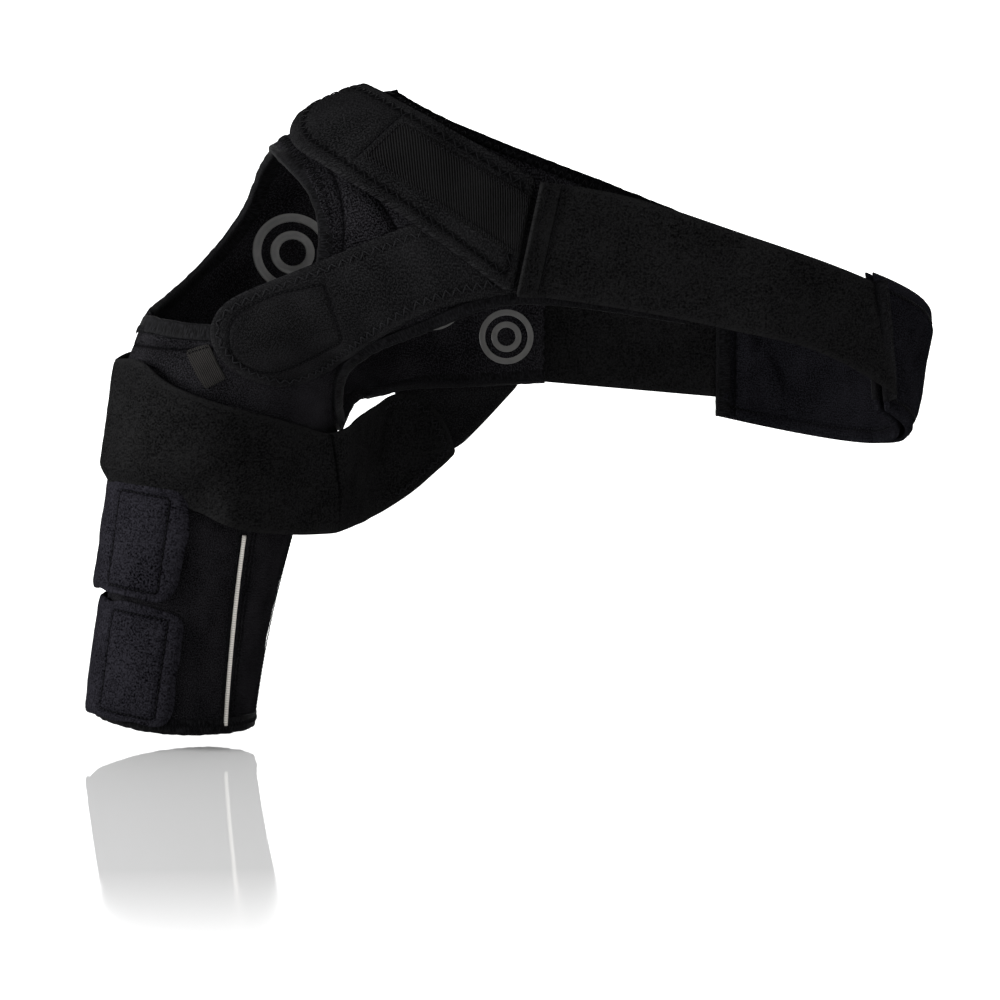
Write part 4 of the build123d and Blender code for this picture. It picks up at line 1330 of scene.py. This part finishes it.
piece = slab("rear_elastic_cloth", cut(rear_outline, 2.8), on_loop, -ELASTIC / 2, ELASTIC / 2,
             PLUSH_ELASTIC, rear_relief, rim=1.2)
dress(piece, "elastic_weave", None, "rear_elastic", "rear_elastic_seam")
swing = on_loop([(seam_along + 6, 240), (seam_along - 26, 240)], 0) * MM
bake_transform(piece)
# Only the stretch between its seam and the pad is made. Its outline is 1.3 cm2 less than this area.
box = rounded([(seam_along + x, z) for x, z in ((2, 213), (2, 274), (12, 274), (12, 214))], 1)
box = resample(box, 1.5, True)
seams("rear_seam_stitches", [lockstitch(box, 2.6, True)], on_loop, -ELASTIC / 2 - 0.2, "root")


# ------------------------------------------------------------------ underarm pad
def slot_at(height):
    """The way along the loop of the pad's front mouth at a height above the pad's middle line."""
    x = np.interp(height, (-PAD_HALF, PAD_HALF), (SLOT[1][0] - 0.3, SLOT[0][0] + 0.3))
    return np.array([loop_along(value, -1) for value in np.atleast_1d(x)])


mouth_heights = np.linspace(PAD_HALF, -PAD_HALF, 30)
mouth = np.column_stack([slot_at(mouth_heights), mouth_heights])
pad_outline = np.vstack([mouth, [(pad_end - 1, -PAD_HALF), (pad_end, -PAD_HALF),
                                 (pad_end, PAD_HALF), (pad_end - 1, PAD_HALF)]])
pad_outline = resample(pad_outline, 2.0, True)
pad_hems = [np.array([(slot_at(height)[0] + 8, height), (pad_end - 3, height)])
            for height in (29.5, -29.5)]
pad_rise = np.array([(pad_end - 11, -PAD_HALF + 3), (pad_end - 11, PAD_HALF - 3)])
mouth_row = mouth[3:-3] + [9.0, 0]
pad_rows = pad_hems + [pad_rise, mouth_row]


def pad_relief(flat):
    to_mouth = np.minimum(flat[:, 0] - slot_at(flat[:, 1]), pad_end - flat[:, 0])
    crown = 1.6 * (1 - np.clip(np.abs(flat[:, 1]) / PAD_HALF, 0, 1) ** 4)
    crown = crown * np.clip((to_mouth - 8) / 12, 0, 1)
    height = crown + wrinkle(flat, 30.0, 1.2, 41.0) + wrinkle(flat, 8.0, 0.2, 42.0)
    for line in pad_rows:
        height += groove(flat, line, 1.0)
    return height


for name, low, high in (("outer", 1.45, 5.05), ("inner", -1.45, -5.05)):
    sign = 1 if low > 0 else -1
    shape = cut(pad_outline, 3.0, pad_rows)
    piece = slab(f"pad_{name}_cloth", shape, on_pad, low, high, PAD_FACE,
                 (lambda flat, sign=sign: sign * pad_relief(flat)), rim=1.8, sewn=pad_rows)
    dress(piece, "pad_fabric", "rear_loop", f"pad_{name}")
    settle(piece, len(shape[0]))
    runs = [zigzag(line, 2.6, 1.7) for line in pad_hems] + [lockstitch(pad_rise, 3.0)]
    seams(f"pad_{name}_stitches", runs, on_pad,
          lambda flat, high=high, sign=sign: high + sign * (pad_relief(flat) + 0.1), "rear_loop")


# Bound mouths of the pad's tunnel
def mouth_binding(name, line, side, nodes):
    """Tape round a mouth of the tunnel, a strip on the outer layer and one on the inner."""
    for layer, low, high in (("outer", 1.5, 6.4), ("inner", -6.4, -1.5)):
        profile = tape_profile(8.0, low, high, side)
        piece = sweep(f"{name}_{layer}_tape", resample(line, 2.2), on_pad, profile, TAPE,
                      ripple=0.10)
        dress(piece, "binding_tape", "rear_loop", *nodes)
        out = high if layer == "outer" else low
        middle = beside(resample(line, 2.0)[2:-2], -side * 5.4)
        seams(f"{name}_{layer}_stitches", [zigzag(middle, 2.2, 2.4)], on_pad, out, "rear_loop")


mouth_binding("pad_front_mouth", resample(mouth, 1.0)[5:-6], -1, ("pad_front_binding",))
back_mouth = np.array([(pad_end, PAD_HALF), (pad_end, -PAD_HALF)])
mouth_binding("pad_back_mouth", back_mouth, 1, ("pad_back_binding",))


# ------------------------------------------------------------------ prints and label
PRINTS = {"shoulder": (66, 290, 24), "middle": (152, 262, 20), "tip": (198, 238, 17)}
RINGS = ((1.0, 0.78), (0.56, 0.34))
for name, (x, z, size) in PRINTS.items():
    for ring, (outer, inner) in zip(("outer", "inner"), RINGS):
        loops = [from_front(arc((x, z), size * share, 0, 360, 90)[:-1], -0.3, -1)
                 for share in (outer, inner)]
        shape = fill([(loops[0], True), (loops[1], True)], 2.0,
                     lambda p, loops=loops: inside(p, loops[0]) & ~inside(p, loops[1]))
        piece = slab(f"print_{name}_{ring}_ring", shape, on_form, 0.3, -0.35, SILICONE, rim=0.4)
        dress(piece, "silicone_grip", "root", f"grip_print_{name}")

LABEL_OUTLINE = [(10.5, 231), (25, 235.5), (35, 215), (22.5, 208.5)]
label_outline = on_body_outline(rounded(LABEL_OUTLINE, 0.8), PANEL)
piece = slab("woven_label_cloth", cut(label_outline, 1.8), on_form, PANEL + 0.05, PANEL + 0.9, LABEL,
             lambda flat: wrinkle(flat, 10.0, 0.3, 51.0), rim=0.5)
dress(piece, "label_weave", "root", "woven_label")
label_row = body_line([(12, 229.5), (24.5, 233.5)], PANEL)
seams("label_stitches", [lockstitch(label_row, 2.4)], on_form, PANEL + 1.0, "root")


# ------------------------------------------------------------------ stage
CAMERA_TARGET = Vector((0.194, 0.0, 0.141))
CAMERA_DISTANCE = 2.3
CAMERA_RISE = 3.0
CAMERA_WIDTH = 0.6       # how much of the target's plane the view takes in
SENSOR = 36.0
FLOOR_Z = -0.0045        # just under the cuff's hem
FLOOR_RADIUS = 3.2
RISE_RADIUS = 2.6        # how the backdrop curves up at the floor's rim


def turned(name, profile, level, material, sides=72):
    """A surface of revolution about the vertical, from (radius, height) points in metres."""
    turns = np.linspace(0, 2 * math.pi, sides, endpoint=False)
    points = [(r * math.cos(t) / MM, r * math.sin(t) / MM, (level + z) / MM)
              for r, z in profile for t in turns]
    faces = []
    for k in range(len(profile) - 1):
        for j in range(sides):
            i = (j + 1) % sides
            faces.append((k * sides + i, k * sides + j, (k + 1) * sides + j, (k + 1) * sides + i))
    return make(name, points, faces, material)


def studio():
    """Camera, soft lights and a pale floor whose rim curves up all round."""
    rise = math.radians(CAMERA_RISE)
    data = bpy.data.cameras.new("camera")
    data.sensor_width = SENSOR
    data.lens = SENSOR * CAMERA_DISTANCE / CAMERA_WIDTH
    data.clip_end = 50
    camera = bpy.data.objects.new("camera", data)
    camera.location = CAMERA_TARGET + CAMERA_DISTANCE * Vector((0, -math.cos(rise), math.sin(rise)))
    camera.rotation_euler = (CAMERA_TARGET - camera.location).to_track_quat("-Z", "Y").to_euler()
    bpy.context.scene.collection.objects.link(camera)
    bpy.context.scene.camera = camera

    lights = (
        ("key", (-2.1, -0.5, 0.75), 1.0, 120),
        ("fill", (1.4, -1.8, 0.5), 1.4, 8),
        ("top", (0.1, 0.0, 2.2), 1.5, 14),
        ("back", (0.3, 1.7, 1.2), 1.6, 22),
    )
    for name, place, size, power in lights:
        lamp = bpy.data.lights.new(name, "AREA")
        lamp.shape, lamp.size, lamp.energy = "SQUARE", size, power
        obj = bpy.data.objects.new(name, lamp)
        obj.location = place
        obj.rotation_euler = (CAMERA_TARGET - Vector(place)).to_track_quat("-Z", "Y").to_euler()
        bpy.context.scene.collection.objects.link(obj)

    bpy.context.scene.view_settings.view_transform = "Standard"
    world = bpy.data.worlds.new("world")
    world.use_nodes = True
    world.node_tree.nodes["Background"].inputs["Color"].default_value = (1, 1, 1, 1)
    world.node_tree.nodes["Background"].inputs["Strength"].default_value = 0.45
    bpy.context.scene.world = world

    low = [(r, 0.0) for r in (0.0002, 0.6, 1.6, FLOOR_RADIUS)]
    high = [(FLOOR_RADIUS + RISE_RADIUS * math.sin(t), RISE_RADIUS * (1 - math.cos(t)))
            for t in np.radians(np.linspace(0, 62, 20))]
    floor, backdrop = Nodes("floor"), Nodes("backdrop")
    surfaces = ((floor, low, 0.62, 0.02, 0.1), (backdrop, high, 0.93, 0.6, 0.9))
    for n, profile, shade, rough, glow in surfaces:
        n.shader.inputs["Base Color"].default_value = (shade, shade, shade, 1)
        n.shader.inputs["Roughness"].default_value = rough
        n.shader.inputs["Emission Color"].default_value = (1, 1, 1, 1)
        n.shader.inputs["Emission Strength"].default_value = glow
        turned(n.material.name, profile, FLOOR_Z, n.material)

    # Round the cuff the floor is polished and mirrors it; further out it turns matt
    far = floor.add("VectorMath", operation="LENGTH")
    floor.join(floor.add("TexCoord").outputs["Object"], far.inputs[0])
    matt = floor.between(far.outputs["Value"], 0.52, 1.0)
    floor.join(floor.between(matt, 0, 1, 0.02, 0.5), floor.shader.inputs["Roughness"])
    floor.join(floor.between(matt, 0, 1, 0.1, 0.8), floor.shader.inputs["Emission Strength"])


studio()
